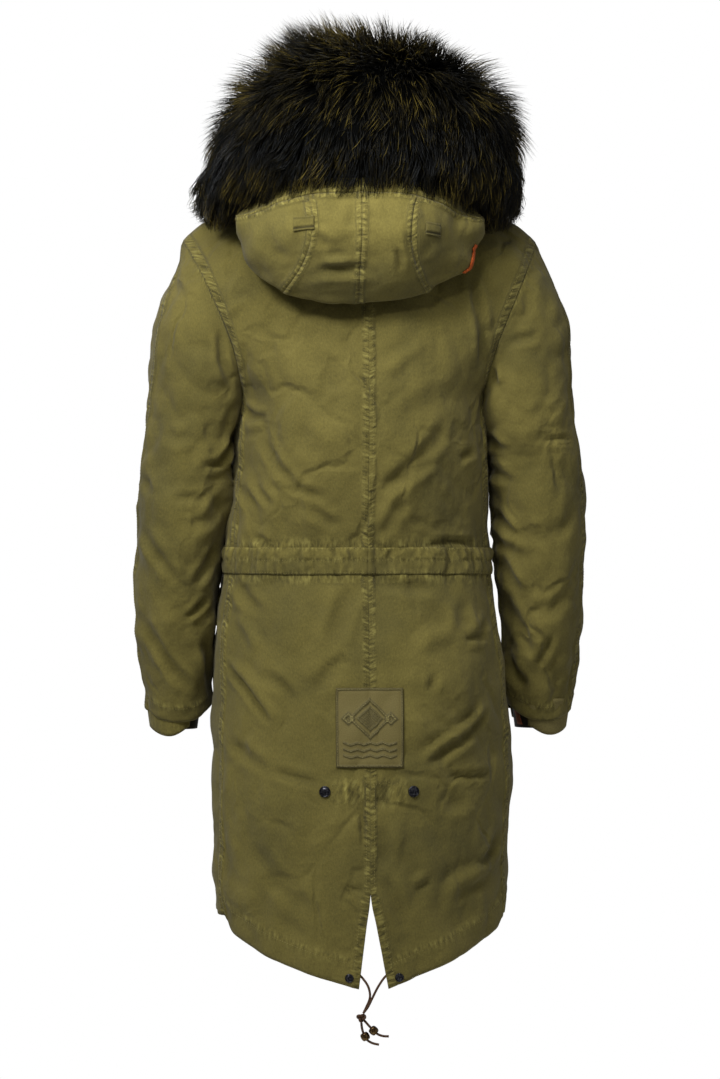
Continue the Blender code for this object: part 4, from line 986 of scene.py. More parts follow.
# the shell's cotton cut on the bias and dyed paler: dull, with short threads
bindingCloth = makePlainCloth("olive cotton cuff binding", "#5f5630", "#857b4a", 0.85, (400.0, 1200.0))
# filament nylon woven as tape: bright, with fine ribs across it
webbing = makePlainCloth("orange woven nylon tab", "#a8430f", "#d4682a", 0.6, (2200.0, 700.0))
# vegetable tanned hide: a pebbled grain that is deeper than a weave, waxed to a dull shine
leather = makePlainCloth("tan vegetable tanned leather", "#6d3b1f", "#94593a", 0.55, (600.0, 600.0), 0.0003)
# spun polyester, dyed with the garment but paler than it, so that the rows of stitches show
thread = makePlainCloth("spun polyester sewing thread", "#6b6231", "#968b50", 0.75, (900.0, 900.0))
# a leather lace rolled round and waxed: almost matt, streaked where the wax has worn off
cordLeather = makePlainCloth("round waxed leather lace", "#362518", "#5c412b", 0.85, (900.0, 900.0))
# cast brass, tumbled and darkened: brown in its pores and bright where it is rubbed
brass = makeMetal("cast antique brass", "#33271a", "#8c7147", 0.3)
# pressed steel with a thin dark plating: nearly black, with small bright highlights on its edges
gunmetal = makeMetal("pressed steel, gunmetal plated", "#222226", "#5a5a60", 0.3)
furHair = makeFur("dyed raccoon guard hair", 0.45, 0.22)
furSkin = makeFur("dyed raccoon underfur", 0.8, 0.06)
print("stage: materials made")


# body

bodyMesh = {"armSteps": 5, "columnSteps": 8, "backColumns": 44, "frontColumns": 26,
            "near": (0.0, 0.0015, 0.0035, 0.0055, 0.0075, 0.0095, 0.0125)}  # columns beside a seam
bodySteps = [max(2, round((high - low) / shell["step"])) for low, high in zip(lowerRows, lowerRows[1:])]
armpitAt = sum(bodySteps)
slitAt = sum(bodySteps[:slitRow])
waistAt = (sum(bodySteps[:waistRow]), sum(bodySteps[:waistRow + 1]))
# height and painted shade of the body's folds; crumple layers are (how often along x, y and z, height, noise,
# ridged)
bodyFolds = {"creaseLimit": 0.0042, "creaseDepth": 0.0085, "softDepth": 0.026, "flankX": 0.176,
             "soft": [((9, 9, 6), 0.0052, 1.0), ((20, 20, 14), 0.0022, 2.0, True),
                      ((44, 44, 30), 0.0007, 3.0, True)],
             "calmX": (-0.07, 0.06), "calmZ": (-0.2, 0.08), "calmShare": 0.5}
bodySeams = {"slit": 0.0105, "front": (0.004, 0.0004), "hem": (0.03, 0.0012), "armhole": 0.0115,
             "sideGroove": 0.0004}
hemCorner = {"drawn": 0.012, "tall": 0.05, "fromX": 0.176, "over": 0.016}
waist = {"edge": 0.017, "waves": ((90, 90, 9), 0.002, 5.0), "depth": 0.003, "ripples": 0.003,
         "mask": (0.8, 0.013), "reach": (0.002, 0.022)}
tack = {"x": 0.001, "z": -0.7205, "half": 0.046, "tall": 0.017, "waves": ((95, 40, 22), 0.0034, 9.0),
        "depth": 0.0026, "mask": 0.9, "snapX": 0.055, "snapZ": -0.7195,
        "pad": (0.0008, 0.01, 0.011), "stitchX": (-0.043, 0.047),
        "stitchZ": (-0.7085, -0.7325), "sway": (0.0022, 260)}
scallop = {"often": 26, "height": 0.0042, "from": 0.016, "over": 0.022}


def bodyGrid(side, isBack):
    lower = [[lowerPoint(row, column, isBack, side) for column in range(bodyColumns + 1)]
             for row in range(len(lowerRows))]
    upper = [[upperPoint(row / armholeRows, column, isBack) for column in range(bodyColumns + 1)]
             for row in range(1, armholeRows + 1)]
    finer = denser(mirrored(np.array(lower + upper), side), bodySteps + [bodyMesh["armSteps"]] * armholeRows,
                   [bodyMesh["columnSteps"]] * bodyColumns)
    return metricColumns(finer, bodyMesh["near"], bodyMesh["backColumns" if isBack else "frontColumns"])


def waistPucker(panel):  # the cloth is drawn in along both edges of the waist channel
    middle = (body["waistTopZ"] + body["waistBottomZ"]) / 2
    distance = np.abs(np.abs(panel["points"][..., 2] - middle) - waist["edge"])
    share, over = waist["mask"]
    place = np.stack((panel["across"] + 3.0, distance, np.full(distance.shape, waist["ripples"])), axis=-1)
    markSeam(panel, share * (1 - smooth((distance - waist["ripples"]) / over)), place)
    start, over = waist["reach"]
    waves = crumple(panel["points"], *waist["waves"]) * (1 - smooth((distance - start) / over))
    raiseCloth(panel, waves, waist["depth"])


def snapGather(panel):  # the tacking between the two upper snaps gathers the cloth, and each snap flattens it
    x, z = panel["points"][..., 0], panel["points"][..., 2]
    near = bell(x - tack["x"], tack["half"], 6) * bell(z - tack["z"], tack["tall"], 4)
    clearOfSeam = smooth((np.abs(x) - 0.004) / 0.006)
    raiseCloth(panel, crumple(panel["points"], *tack["waves"]) * near * clearOfSeam, tack["depth"])
    markSeam(panel, near * tack["mask"], np.stack((x * 0.8 + z * 0.25, z, np.full(x.shape, 0.01)), axis=-1))
    height, wide, tall = tack["pad"]
    pad = bell(np.abs(x - tack["x"]) - tack["snapX"], wide, 4) * bell(z - tack["snapZ"], tall, 4)
    panel["lift"] += height * pad


def hemScallop(panel):  # the hem waves a little, most at its edge
    along = panel["across"]
    wave = np.array([noise.noise(Vector((value * scallop["often"], panel["side"] * 4.0, 1.0)))
                     for value in along.reshape(-1)]).reshape(along.shape)
    foot = edgeDistance(panel, "foot")[0]
    panel["lift"] += scallop["height"] * wave * (1 - smooth((foot - scallop["from"]) / scallop["over"]))


def foldBody(panel, isBack):
    points = panel["points"]
    x, z = points[..., 0], points[..., 2]
    rows = np.arange(points.shape[0])[:, None]
    still = fadeNear(panel, ["head"], 0.03)
    still *= np.where(rows > armpitAt - 6, fadeNear(panel, ["last"], 0.022), 1.0)
    still *= 1 - bodyFolds["calmShare"] * (bell(x - bodyFolds["calmX"][0], bodyFolds["calmX"][1])
                                           * bell(z - bodyFolds["calmZ"][0], bodyFolds["calmZ"][1]))
    seams = fadeNear(panel, ["first"], 0.012, 0.25) * fadeNear(panel, ["last"], 0.02, 0.35)
    flanks = smooth((bodyFolds["flankX"] - np.abs(x)) / 0.02 + 0.35)
    creases = creaseLift(points, backCreases if isBack else frontCreases) * still * seams * flanks
    limit = bodyFolds["creaseLimit"]
    raiseCloth(panel, limit * np.tanh(creases * body["creaseDepth"] / limit), bodyFolds["creaseDepth"])
    soft = crumpled(points, bodyFolds["soft"]) * still * fadeNear(panel, ["first"], 0.01, 0.3)
    raiseCloth(panel, soft, bodyFolds["softDepth"])


def drawInCorner(panel):  # the front hem's corner turns in towards the leg
    points, foot = panel["points"], edgeDistance(panel, "foot")[0]
    beyond = smooth((np.abs(points[..., 0]) - hemCorner["fromX"]) / hemCorner["over"])
    points[..., 0] -= panel["side"] * hemCorner["drawn"] * (1 - smooth(foot / hemCorner["tall"])) * beyond


def sewBody(panel, isBack):
    rows = np.arange(panel["points"].shape[0])[:, None]
    if isBack:
        sewEdge(panel, "first", np.where(rows < slitAt, bodySeams["slit"], shell["seamBand"]), groove=0.0)
        snapGather(panel)
    else:
        sewEdge(panel, "first", *bodySeams["front"])
        drawInCorner(panel)
    sewEdge(panel, "last", shell["seamBand"], where=(rows <= armpitAt) * 1.0, groove=bodySeams["sideGroove"])
    sewEdge(panel, "last", bodySeams["armhole"], where=(rows > armpitAt - 2) * 1.0)
    sewEdge(panel, "foot", *bodySeams["hem"])


def makeBody():
    for side, word in hands:
        for isBack, half in halves:
            facing = -side if isBack else side
            panel = addPanel(f"{half}_{word}", bodyGrid(side, isBack), facing, shell["wall"], side)
            foldBody(panel, isBack)
            sewBody(panel, isBack)
            waistPucker(panel)
            hemScallop(panel)
            settle(panel)
    weld("back_left", "first", "back_right", "first", slice(slitAt, None))
    weld("front_left", "first", "front_right", "first")
    for side, word in hands:
        weld(f"back_{word}", "last", f"front_{word}", "last", slice(0, armpitAt + 1))
        panels[f"front_{word}"]["points"][-1, -1] = panels[f"back_{word}"]["points"][-1, -1]


# sleeves

sleeveMesh = {"capSteps": 5, "rowSteps": 7, "rows": len(sleeveRows) + 1 + capRows, "sewnRows": 8}
sleeveFolds = {"creaseLimit": 0.005, "creaseDepth": 0.008, "softDepth": 0.022, "frontLower": 0.03,
               "frontShare": 0.8, "soft": [((12, 12, 9), 0.005, 4.0), ((24, 24, 19), 0.0026, 6.0, True),
                        ((50, 50, 40), 0.0008, 7.0, True)]}
# the left sleeve hangs against the body down to its cuff
leftLean = {"push": 0.009, "z": -0.605, "tall": 0.07, "over": 0.04}


def sleeveGrid(side, isBack):
    rows = sleeveMesh["rows"]

    def place(rowShare, columnShare):
        row = round(rowShare * rows)
        seam = outerSeam(1 - rowShare, side)
        turn = mix(seam, 0.5, columnShare) if isBack else mix(0.5, 1 + seam, columnShare)
        if row == 0:
            return sleeveRing(sleeveHem.at(turn if turn <= 0.5 else turn - 1, "z"), turn, side)
        if row <= len(sleeveRows):
            return sleeveRing(sleeveRows[row - 1], turn, side)
        return capPoint(turn, (rows - row) / capRows, side)

    points = mirrored(gridOf(rows, armholeRows, place), side)
    return denser(points, [sleeveMesh["rowSteps"]] * rows, [sleeveMesh["capSteps"]] * armholeRows)


def sewSleeveToBody(half, word):
    edge = panels[f"{half}_{word}"]["points"][armpitAt:, -1]
    points = panels[f"sleeve_{half}_{word}"]["points"]
    apart = (edge[::-1] if half == "back" else edge) - points[-1]
    for k in range(sleeveMesh["sewnRows"]):
        points[-1 - k] += apart * (1 - smooth(k / sleeveMesh["sewnRows"]))


def foldSleeve(panel, isBack, outer, under):
    points, side = panel["points"], panel["side"]
    still = fadeNear(panel, ["head"], 0.03) * fadeNear(panel, ["foot"], 0.02, 0.4)
    flanks = fadeNear(panel, [outer], 0.016, 0.3) * fadeNear(panel, [under], 0.03, 0.2)
    if isBack:
        creases = creaseLift(points, sleeveCreases[side])
    else:  # the creases run on round the sleeve, lower and flatter in front
        lowered = points + np.array((0.0, 0.0, sleeveFolds["frontLower"]))
        creases = creaseLift(lowered, sleeveCreases[side]) * sleeveFolds["frontShare"]
    soft = crumpled(points, sleeveFolds["soft"]) * still * (0.45 + 0.55 * flanks)
    limit = sleeveFolds["creaseLimit"]
    creases = limit * np.tanh(creases * still * flanks * sleeve["creaseDepth"] / limit)
    raiseCloth(panel, creases, sleeveFolds["creaseDepth"])
    raiseCloth(panel, soft, sleeveFolds["softDepth"])


def makeSleeves():
    for side, word in hands:
        for isBack, half in halves:
            panel = addPanel(f"sleeve_{half}_{word}", sleeveGrid(side, isBack), side, shell["wall"], side)
            outer, under = ("first", "last") if isBack else ("last", "first")
            foldSleeve(panel, isBack, outer, under)
            if side > 0:
                points = panel["points"]
                inner = points[..., 0].mean(axis=1, keepdims=True) - points[..., 0]
                points[..., 0] -= (leftLean["push"] * smooth(inner / leftLean["over"] + 0.5)
                                   * bell(points[..., 2] - leftLean["z"], leftLean["tall"]))
            sewEdge(panel, outer, shell["seamBand"])
            sewEdge(panel, under, shell["seamBand"] * 0.8)
            sewEdge(panel, "foot", sleeve["hemDepth"], 0.0009)
            sewEdge(panel, "head", 0.0025, 0.0)
            settle(panel)
        weld(f"sleeve_back_{word}", "first", f"sleeve_front_{word}", "last")
        weld(f"sleeve_back_{word}", "last", f"sleeve_front_{word}", "first")
        sewSleeveToBody("back", word)
        sewSleeveToBody("front", word)


# hood

hoodCreases = [
    (10, -5.0, (74, -78), (45, -77), (0, -74)),
    (8, 3.0, (62, -66), (30, -68)),
    (7, -4.0, (-24, -50), (-30, -56), (-34, -76)),
    (10, -3.5, (74, -30), (62, -45), (57, -52)),
    (12, -3.5, (135, -10), (128, -40), (106, -72)),
    (10, -3.0, (-40, -20), (-48, -52), (-60, -78)),
    (12, 3.0, (-85, -40), (-72, -70)),
    (14, -3.0, (95, 0), (80, -30)),
    (12, -3.0, (-105, 0), (-110, -40)),
    (12, -2.5, (20, 10), (30, -30)),
]
hoodFolds = {"creaseShare": 0.9, "depth": 0.009, "paintedLight": 0.7, "seamRise": 0.0012, "frontY": (0.02, 0.05),
             "soft": [((14, 14, 14), 0.0028, 8.0), ((30, 30, 30), 0.0011, 12.0, True)]}
# the hood's right edge stands out farther, down to the tab
hoodBulge = {"out": 0.0085, "z": -0.07, "tall": 0.024, "fromX": 0.07, "over": 0.045}
hoodSteps = 6
# sewn edges of each part, and those that hang free or meet the ruff
hoodEdges = {"centre": (["first", "last", "head"], ["foot"]), "side": (["first", "head"], ["foot", "last"]),
             "brim": (["first", "foot"], ["head", "last"])}


def hoodGrids(side):
    brimStart = brimSeam.at(1.0, "s")

    def centre(row, column):
        c = column * hoodSeam.at(row * brimStart, "c")
        return bagPlace(row * brimSeam.at(c, "s"), c, side)

    def flank(row, column):
        c = mix(hoodSeam.at(row * brimStart, "c"), hood["end"], column)
        return bagPlace(row * brimSeam.at(c, "s"), c, side)

    def brim(row, column):
        split = centreColumns / (centreColumns + sideColumns)
        seam = hoodSeam.at(brimStart, "c")
        c = column / split * seam if column <= split else mix(seam, hood["end"], (column - split) / (1 - split))
        return bagPlace(mix(brimSeam.at(c, "s"), 1.0, row), c, side)

    return {"centre": gridOf(hoodRows, centreColumns, centre), "side": gridOf(hoodRows, sideColumns, flank),
            "brim": gridOf(brimRows, centreColumns + sideColumns, brim)}


def foldHood(panel, free):
    points = panel["points"]
    start, over = hoodFolds["frontY"]
    hangs = 0.15 + 0.85 * smooth((points[..., 1] - start) / over)
    bent = creaseLift(points, hoodCreases) * hoodFolds["creaseShare"] + crumpled(points, hoodFolds["soft"])
    raiseCloth(panel, bent * fadeNear(panel, free, 0.02) * hangs, hoodFolds["depth"])
    # painted light: the hood's cloth is drawn lighter all over
    panel["fold"] += hoodFolds["paintedLight"]
    if panel["side"] < 0:
        beyond = smooth((-points[..., 0] - hoodBulge["fromX"]) / hoodBulge["over"])
        points[..., 0] -= hoodBulge["out"] * bell(points[..., 2] - hoodBulge["z"], hoodBulge["tall"]) * beyond


def makeHood():
    for side, word in hands:
        for part, points in hoodGrids(side).items():
            steps = [4] * brimRows if part == "brim" else [hoodSteps] * hoodRows
            finer = denser(points, steps, [hoodSteps] * (points.shape[1] - 1))
            panel = addPanel(f"hood_{part}_{word}", finer, -side, hood["wall"], side)
            edges, free = hoodEdges[part]
            foldHood(panel, free)
            for edge in edges:
                sewEdge(panel, edge, hood["seamBand"], hoodFolds["seamRise"])
            settle(panel)
        weld(f"hood_centre_{word}", "last", f"hood_side_{word}", "first")
        split = hoodSteps * centreColumns
        brimFoot = panels[f"hood_brim_{word}"]["points"][0]
        centreHead = panels[f"hood_centre_{word}"]["points"][-1]
        sideHead = panels[f"hood_side_{word}"]["points"][-1]
        joined = (np.concatenate((centreHead, sideHead[1:])) + brimFoot) / 2
        brimFoot[...] = joined
        centreHead[...] = joined[:split + 1]
        sideHead[...] = joined[split:]
    weld("hood_centre_left", "first", "hood_centre_right", "first")
    weld("hood_brim_left", "first", "hood_brim_right", "first")


backCloth = ["cloth_back_left", "cloth_back_right"]


def buildPanels():
    sheets = {"sleeve": ("hung", backCloth), "hood": ("draped", backCloth)}
    for name, panel in panels.items():
        sheet = sheets.get(name.split("_")[0], ("hung", ["hood_centre_left"]))
        clothPiece(f"cloth_{name}", panel["points"], panel["facing"], panel["wall"], [shellCloth, liningCloth],
                   [name], sheet, panel["mask"], panel["seam"], panel["fold"],
                   (panel["across"], panel["up"]))


# trims laid on the cloth

skinTrees = {}
bodyBack = ("back_left", "back_right")
bodyFront = ("front_left", "front_right")
hoodNames = tuple(f"hood_{part}_{word}" for part in ("centre", "side", "brim") for side, word in hands)


def skinTree(names):
    if names not in skinTrees:
        verts, faces = [], []
        for name in names:
            points = panels[name]["points"]
            rows, columns = points.shape[:2]
            index = np.arange(rows * columns).reshape(rows, columns) + len(verts)
            verts += [tuple(p) for p in points.reshape(-1, 3)]
            quads = np.stack((index[:-1, :-1], index[:-1, 1:], index[1:, 1:], index[1:, :-1]), axis=-1)
            faces += quads.reshape(-1, 4).tolist()
        skinTrees[names] = BVHTree.FromPolygons(verts, faces)
    return skinTrees[names]


def lay(names, start, direction):  # where a line meets the cloth, and the way out of it there
    hit, normal, _, _ = skinTree(names).ray_cast(Vector(start), Vector(direction))
    if hit is None:
        return None, None
    return hit, (normal if normal.dot(Vector(direction)) < 0 else -normal)


def fromBehind(x, z):
    return (x, 0.6, z), (0.0, -1.0, 0.0)


def fromFront(x, z):
    return (x, -0.6, z), (0.0, 1.0, 0.0)


def fromAround(degrees, z):
    out = Vector((cos(radians(degrees)), sin(radians(degrees)), 0.0))
    return out * 0.6 + Vector((0.0, 0.0, z)), -out


def relaxed(points, rounds):  # laid cloth bridges the small hollows under it
    for _ in range(rounds):
        inner = (points[:-2, 1:-1] + points[2:, 1:-1] + points[1:-1, :-2] + points[1:-1, 2:]) / 4
        points[1:-1, 1:-1] = mix(points[1:-1, 1:-1], inner, 0.5)
    return points


def laidGrid(rows, columns, placeOf, names, aim, rounds):
    hits = [[lay(names, *aim(*placeOf(r / rows, c / columns))) for c in range(columns + 1)]
            for r in range(rows + 1)]
    points = relaxed(np.array([[hit for hit, _ in line] for line in hits]), rounds)
    out = normalsOf(points, 1)
    facing = 1 if np.sum(out * np.array([[normal for _, normal in line] for line in hits])) > 0 else -1
    return points, out * facing, facing


def edgeRing(points, width):  # distance from the nearest edge of a grid, in cells, as a share of the width
    rows, columns = np.arange(points.shape[0])[:, None], np.arange(points.shape[1])[None, :]
    inside = np.minimum(np.minimum(rows, rows[::-1]), np.minimum(columns, columns[:, ::-1]))
    return np.clip(inside / width, 0.0, 1.0)


# the badge: a generic stitched design of nested diamonds, one small diamond on each side, three chevron lines
badge = {"halfWidth": 0.0415, "topZ": -0.591, "footZ": -0.69, "lift": 0.0007, "relief": 0.0017, "swell": 0.001,
         "rows": 92, "columns": 78, "border": 0.0018, "line": 0.0011, "middleY": 0.011, "diamond": 0.024,
         "inner": 0.62, "filled": 0.52, "sideX": 0.026, "chevrons": (-0.021, -0.029, -0.037),
         "chevronHalf": 0.0325, "tooth": 0.008}


def badgeRelief(u, v):
    width, height = 2 * badge["halfWidth"], badge["topZ"] - badge["footZ"]
    x, y = (u - 0.5) * width, (v - 0.5) * height
    out = np.maximum(np.abs(x) - width / 2, np.abs(y) - height / 2)
    border = bell(out + badge["border"], badge["line"])
    above = y - badge["middleY"]
    diamond = (np.abs(x) + np.abs(above)) / badge["diamond"]
    rings = bell(diamond - 1.0, 0.075) + 0.9 * bell(diamond - badge["inner"], 0.06)
    filling = np.abs(np.sin((x + y) * 900)) * np.abs(np.sin((x - y) * 900)) * (diamond < badge["filled"])
    small = bell((np.abs(np.abs(x) - badge["sideX"]) + np.abs(above)) / 0.0072 - 0.8, 1 / 3) * (np.abs(x) > 0.018)
    tooth = badge["tooth"]
    zigzag = 0.35 * (tooth - np.abs(np.mod(x + tooth, 2 * tooth) - tooth))
    chevrons = sum(bell(y - level - zigzag, badge["line"]) for level in badge["chevrons"])
    chevrons = chevrons * (np.abs(x) < badge["chevronHalf"])
    return np.clip(border + rings + 0.8 * filling + small + chevrons, 0.0, 1.0)


def makeBadge():
    rows, columns = badge["rows"], badge["columns"]

    def place(row, column):
        return mix(-badge["halfWidth"], badge["halfWidth"], column), mix(badge["footZ"], badge["topZ"], row)

    points, out, facing = laidGrid(rows, columns, place, bodyBack, fromBehind, 6)
    v, u = np.meshgrid(np.linspace(0, 1, rows + 1), np.linspace(0, 1, columns + 1), indexing="ij")
    relief = badgeRelief(u, v)
    lift = trim["wall"] + badge["lift"] * edgeRing(points, 3) + relief * badge["relief"]
    lift += badge["swell"] * smooth(edgeRing(points, 7)) * (1 - 0.5 * relief)
    points = points + out * lift[..., None]
    clothPiece("stitched_badge", points, facing, trim["wall"], [badgeCloth], ["back_patch"],
               ("laid", backCloth, 0.006), mask=relief)


# pocket flaps; rear and front are turns round the body in degrees
flap = {"rear": -6.0, "front": -60.0, "rearZ": -0.47, "frontZ": -0.458, "height": 0.046, "point": 0.012,
        "lift": 0.0012, "swell": 0.0016, "stitchDent": 0.0006, "waves": ((60, 60, 30), 0.0006, 13.0), "rows": 18,
        "columns": 54, "mask": 0.55, "snapAt": (0.3, 0.5)}
snaps = {"front": (0.007, 0.0022), "back": (0.0071, 0.0024), "hem": (0.0055, 0.002), "cuff": (0.0042, 0.0016)}


def makeFlaps():
    for side, word in hands:
        def place(row, column, side=side):
            angle = mix(flap["rear"], flap["front"], column)
            top = mix(flap["rearZ"], flap["frontZ"], column)
            dip = flap["point"] * sin(pi * column)
            return (angle if side > 0 else 180 - angle), top - (1 - row) * (flap["height"] + dip)

        points, out, facing = laidGrid(flap["rows"], flap["columns"], place, bodyBack + bodyFront, fromAround, 8)
        dent = flap["stitchDent"] * bell(edgeRing(points, 6) - 0.42, 0.14)
        lift = trim["wall"] + flap["lift"] + flap["swell"] * smooth(edgeRing(points, 5)) - dent
        points = points + out * (lift + crumple(points, *flap["waves"]))[..., None]
        name = f"flap_{word}"
        panels[name] = {"points": points}
        clothPiece(name, points, facing, trim["wall"], [shellCloth], [f"pocket_flap_{word}"],
                   ("laid", [f"cloth_front_{word}"], 0.006), mask=flap["mask"] * (1 - edgeRing(points, 6)),
                   seam=points)
        stitchGrid(points, out, 4, "trim")
        hit, normal = lay((name,), *fromAround(*place(*flap["snapAt"])))
        pressSnap(f"snap_pocket_{word}", hit, normal, snaps["front"], f"pocket_snap_{word}")


fly = {"half": 0.036, "topZ": -0.098, "footZ": -0.852, "snapTop": -0.135, "snapStep": 0.122, "snaps": 6,
       "rows": 190, "columns": 16, "lift": 0.0004, "swell": 0.0014, "waves": ((30, 30, 24), 0.00084, 15.0),
       "mask": 0.6}


def makeFly():
    def place(row, column):
        return mix(-fly["half"], fly["half"], column), mix(fly["footZ"], fly["topZ"], row)

    points, out, facing = laidGrid(fly["rows"], fly["columns"], place, bodyFront, fromFront, 6)
    lift = trim["wall"] + trim["gap"] + fly["lift"] + fly["swell"] * smooth(edgeRing(points, 3))
    points = points + out * (lift + crumple(points, *fly["waves"]))[..., None]
    panels["fly"] = {"points": points}
    clothPiece("storm_fly", points, facing, trim["wall"], [shellCloth], ["fly_strip"],
               ("laid", ["cloth_front_left", "cloth_front_right"]), mask=fly["mask"] * (1 - edgeRing(points, 3)),
               seam=points[..., [2, 0, 1]])
    stitchGrid(points, out, 2, "trim")
    for k in range(fly["snaps"]):
        hit, normal = lay(("fly",), *fromFront(0.0, fly["snapTop"] - k * fly["snapStep"]))
        pressSnap(f"snap_fly_{k + 1}", hit, normal, snaps["front"], f"fly_snap_{k + 1}")


# the drawstring's channel round the waist: two stitched tunnels, gathered along their length
channel = {"wall": 0.0012, "rows": 20, "spacing": 0.0028, "upper": 0.0018, "lower": 0.0009, "gather": 0.00285,
           "lift": 0.0004, "seamRise": 0.0012, "edgeDip": 0.0007, "mask": 0.8, "height": 0.034,
           "stitchRows": (1, 10, 19), "shade": 2.4, "upperShade": 0.5, "lowerShade": -0.3}


def tunnelArch(v, start, height):  # a tunnel's round top over 0.43 of the channel's height
    return height * np.sin(pi * np.clip((v - start) / 0.43, 0, 1)) ** 0.6


def makeChannel():
    low, high = waistAt
    for side, word in hands:
        back, front = (panels[f"{half}_{word}"]["points"][low:high + 1] for half in ("back", "front"))
        grid = np.concatenate((back, front[:, -2::-1]), axis=1)
        total = runOf(grid[len(grid) // 2])[-1]
        count = round(total / channel["spacing"])
        grid = np.array([readAlong(line, np.linspace(0, runOf(line)[-1], count)) for line in grid])
        grid = alongRows(grid, np.linspace(0, len(grid) - 1, channel["rows"] + 1))
        out = normalsOf(grid, -side)
        v = np.linspace(0, 1, channel["rows"] + 1)[:, None]
        along = np.linspace(0, total, count)[None, :]
        fromRim = np.minimum(v, 1 - v)
        tunnel = np.where(v > 0.5, tunnelArch(v, 0.53, channel["upper"]), tunnelArch(v, 0.04, channel["lower"]))
        tunnel = tunnel * (0.12 + 0.88 * smooth((along - 0.006) / 0.004))
        gathers = np.array([[noise.noise(Vector((a * 150 + 0.5 * sin(r * 2.6 + a * 30), r * 1.1, side * 3.0)))
                             for a in along[0]] for r in v[:, 0]])
        gathers *= (0.35 + 0.9 * tunnel / channel["upper"]) * smooth((along - 0.004) / 0.008)
        lift = trim["gap"] + channel["wall"] + channel["lift"] + tunnel
        lift = lift + channel["gather"] * gathers * np.clip(fromRim * 12, 0, 1)
        lift += channel["seamRise"] * (1 - smooth((along - 0.0055) / 0.0012))
        lift -= channel["edgeDip"] * (1 - smooth(fromRim / 0.12))
        points = grid + out * lift[..., None]
        points[:, 0, 0] = 0.0
        mask = channel["mask"] * (1 - smooth(np.minimum(np.abs(v - 0.5), fromRim) / 0.2))
        flat = points.shape[:2]
        seam = np.stack((np.broadcast_to(along, flat), np.broadcast_to(v * channel["height"], flat),
                         np.full(flat, 0.002)), axis=-1)
        # painted shade in the gathers' hollows and on the lower tunnel, painted light on the gathers' ridges and
        # the upper tunnel
        shade = channel["shade"] * gathers + np.where(v > 0.5, channel["upperShade"], channel["lowerShade"])
        clothPiece(f"channel_{word}", points, -side, channel["wall"], [shellCloth], [f"waist_channel_{word}"],
                   ("gathered", [f"cloth_back_{word}", f"cloth_front_{word}"]), mask=mask, seam=seam,
                   fold=np.clip(shade, *paintedShadeRange))
        for row in channel["stitchRows"]:
            stitchLine(points[row], out[row], "trim")


# loops on the hood: x and z of both ends, and how far the loop tilts
loops = (("left", 0.073, 0.0985, -0.0285, -0.0125, -0.002), ("right", -0.0825, -0.064, -0.033, -0.0185, 0.002))
loopShape = {"rows": 12, "columns": 16, "rise": 0.003, "slot": 0.002, "roll": 0.0004, "shade": 0.3, "dark": 3.2}
tab = {"footZ": -0.0735, "topZ": -0.039, "width": 0.0034, "lift": 0.0022, "wall": 0.0015, "inset": 0.0012,
       "limitX": -0.1351, "lean": 0.008}


def makeHoodTrim():
    for word, x0, x1, z0, z1, tilt in loops:
        def place(row, column):
            return mix(x0, x1, column), mix(z0, z1, row) + tilt * (column - 0.5)

        points, out, facing = laidGrid(loopShape["rows"], loopShape["columns"], place, hoodNames, fromBehind, 4)
        v = np.linspace(0, 1, loopShape["rows"] + 1)[:, None]
        slot = bell(v - 0.18, 0.09) + 0.5 * bell(v - 0.9, 0.07)
        lift = loopShape["rise"] - loopShape["slot"] * slot + loopShape["roll"] * smooth(edgeRing(points, 2))
        points = points + out * lift[..., None]
        # painted shadow lines in the loop's slots, and a little painted light over the rest of the loop
        clothPiece(f"loop_{word}", points, facing, trim["wall"], [shellCloth], [f"hood_loop_{word}"],
                   ("laid", [f"cloth_hood_side_{word}"], 0.004),
                   fold=loopShape["shade"] - loopShape["dark"] * slot)

    def onEdge(row, column):  # a little inside the hood's outline as seen from behind
        z = mix(tab["footZ"], tab["topZ"], row)
        edge = next(x for x in np.arange(-0.15, 0.0, 0.0008) if lay(hoodNames, *fromBehind(x, z))[0])
        return max(edge + tab["inset"], tab["limitX"] + tab["lean"] * (1 - row)) + tab["width"] * column, z

    points, out, facing = laidGrid(16, 3, onEdge, hoodNames, fromBehind, 0)
    clothPiece("size_tab", points + out * tab["lift"], facing, tab["wall"], [webbing], ["hood_tab"],
               ("folded", ["cloth_hood_side_right"], 0.006))


# snaps: radius and height of each in snaps, and one profile as shares of them

snapProfile = [(0.0, 0.0), (0.97, 0.0), (1.0, 0.12), (1.0, 0.42), (0.95, 0.66), (0.86, 0.78), (0.8, 0.7),
               (0.74, 0.62), (0.66, 0.7), (0.5, 0.9), (0.3, 0.99), (0.12, 1.0), (0.0, 1.0)]
backSnaps = (("back_left", 0.056, -0.7195, "back"), ("back_right", -0.054, -0.7195, "back"),
             ("hem_left", 0.0262, -0.95, "hem"), ("hem_right", -0.0365, -0.95, "hem"))


def spunPiece(name, profile, steps, seat, axis, material, node):  # a turned profile of (radius, height)
    mesh = bmesh.new()
    verts = [mesh.verts.new((radius, 0.0, height)) for radius, height in profile]
    edges = [mesh.edges.new(pair) for pair in zip(verts, verts[1:])]
    bmesh.ops.spin(mesh, geom=verts + edges, cent=(0, 0, 0), axis=(0, 0, 1), angle=2 * pi, steps=steps,
                   use_merge=True)
    bmesh.ops.remove_doubles(mesh, verts=mesh.verts[:], dist=1e-6)
    bmesh.ops.recalc_face_normals(mesh, faces=mesh.faces[:])
    turn = Vector((0.0, 0.0, 1.0)).rotation_difference(Vector(axis)).to_matrix().to_4x4()
    bmesh.ops.transform(mesh, matrix=Matrix.Translation(Vector(seat)) @ turn, verts=mesh.verts[:])
    addPiece(name, meshFrom(mesh, name), [material], [node])


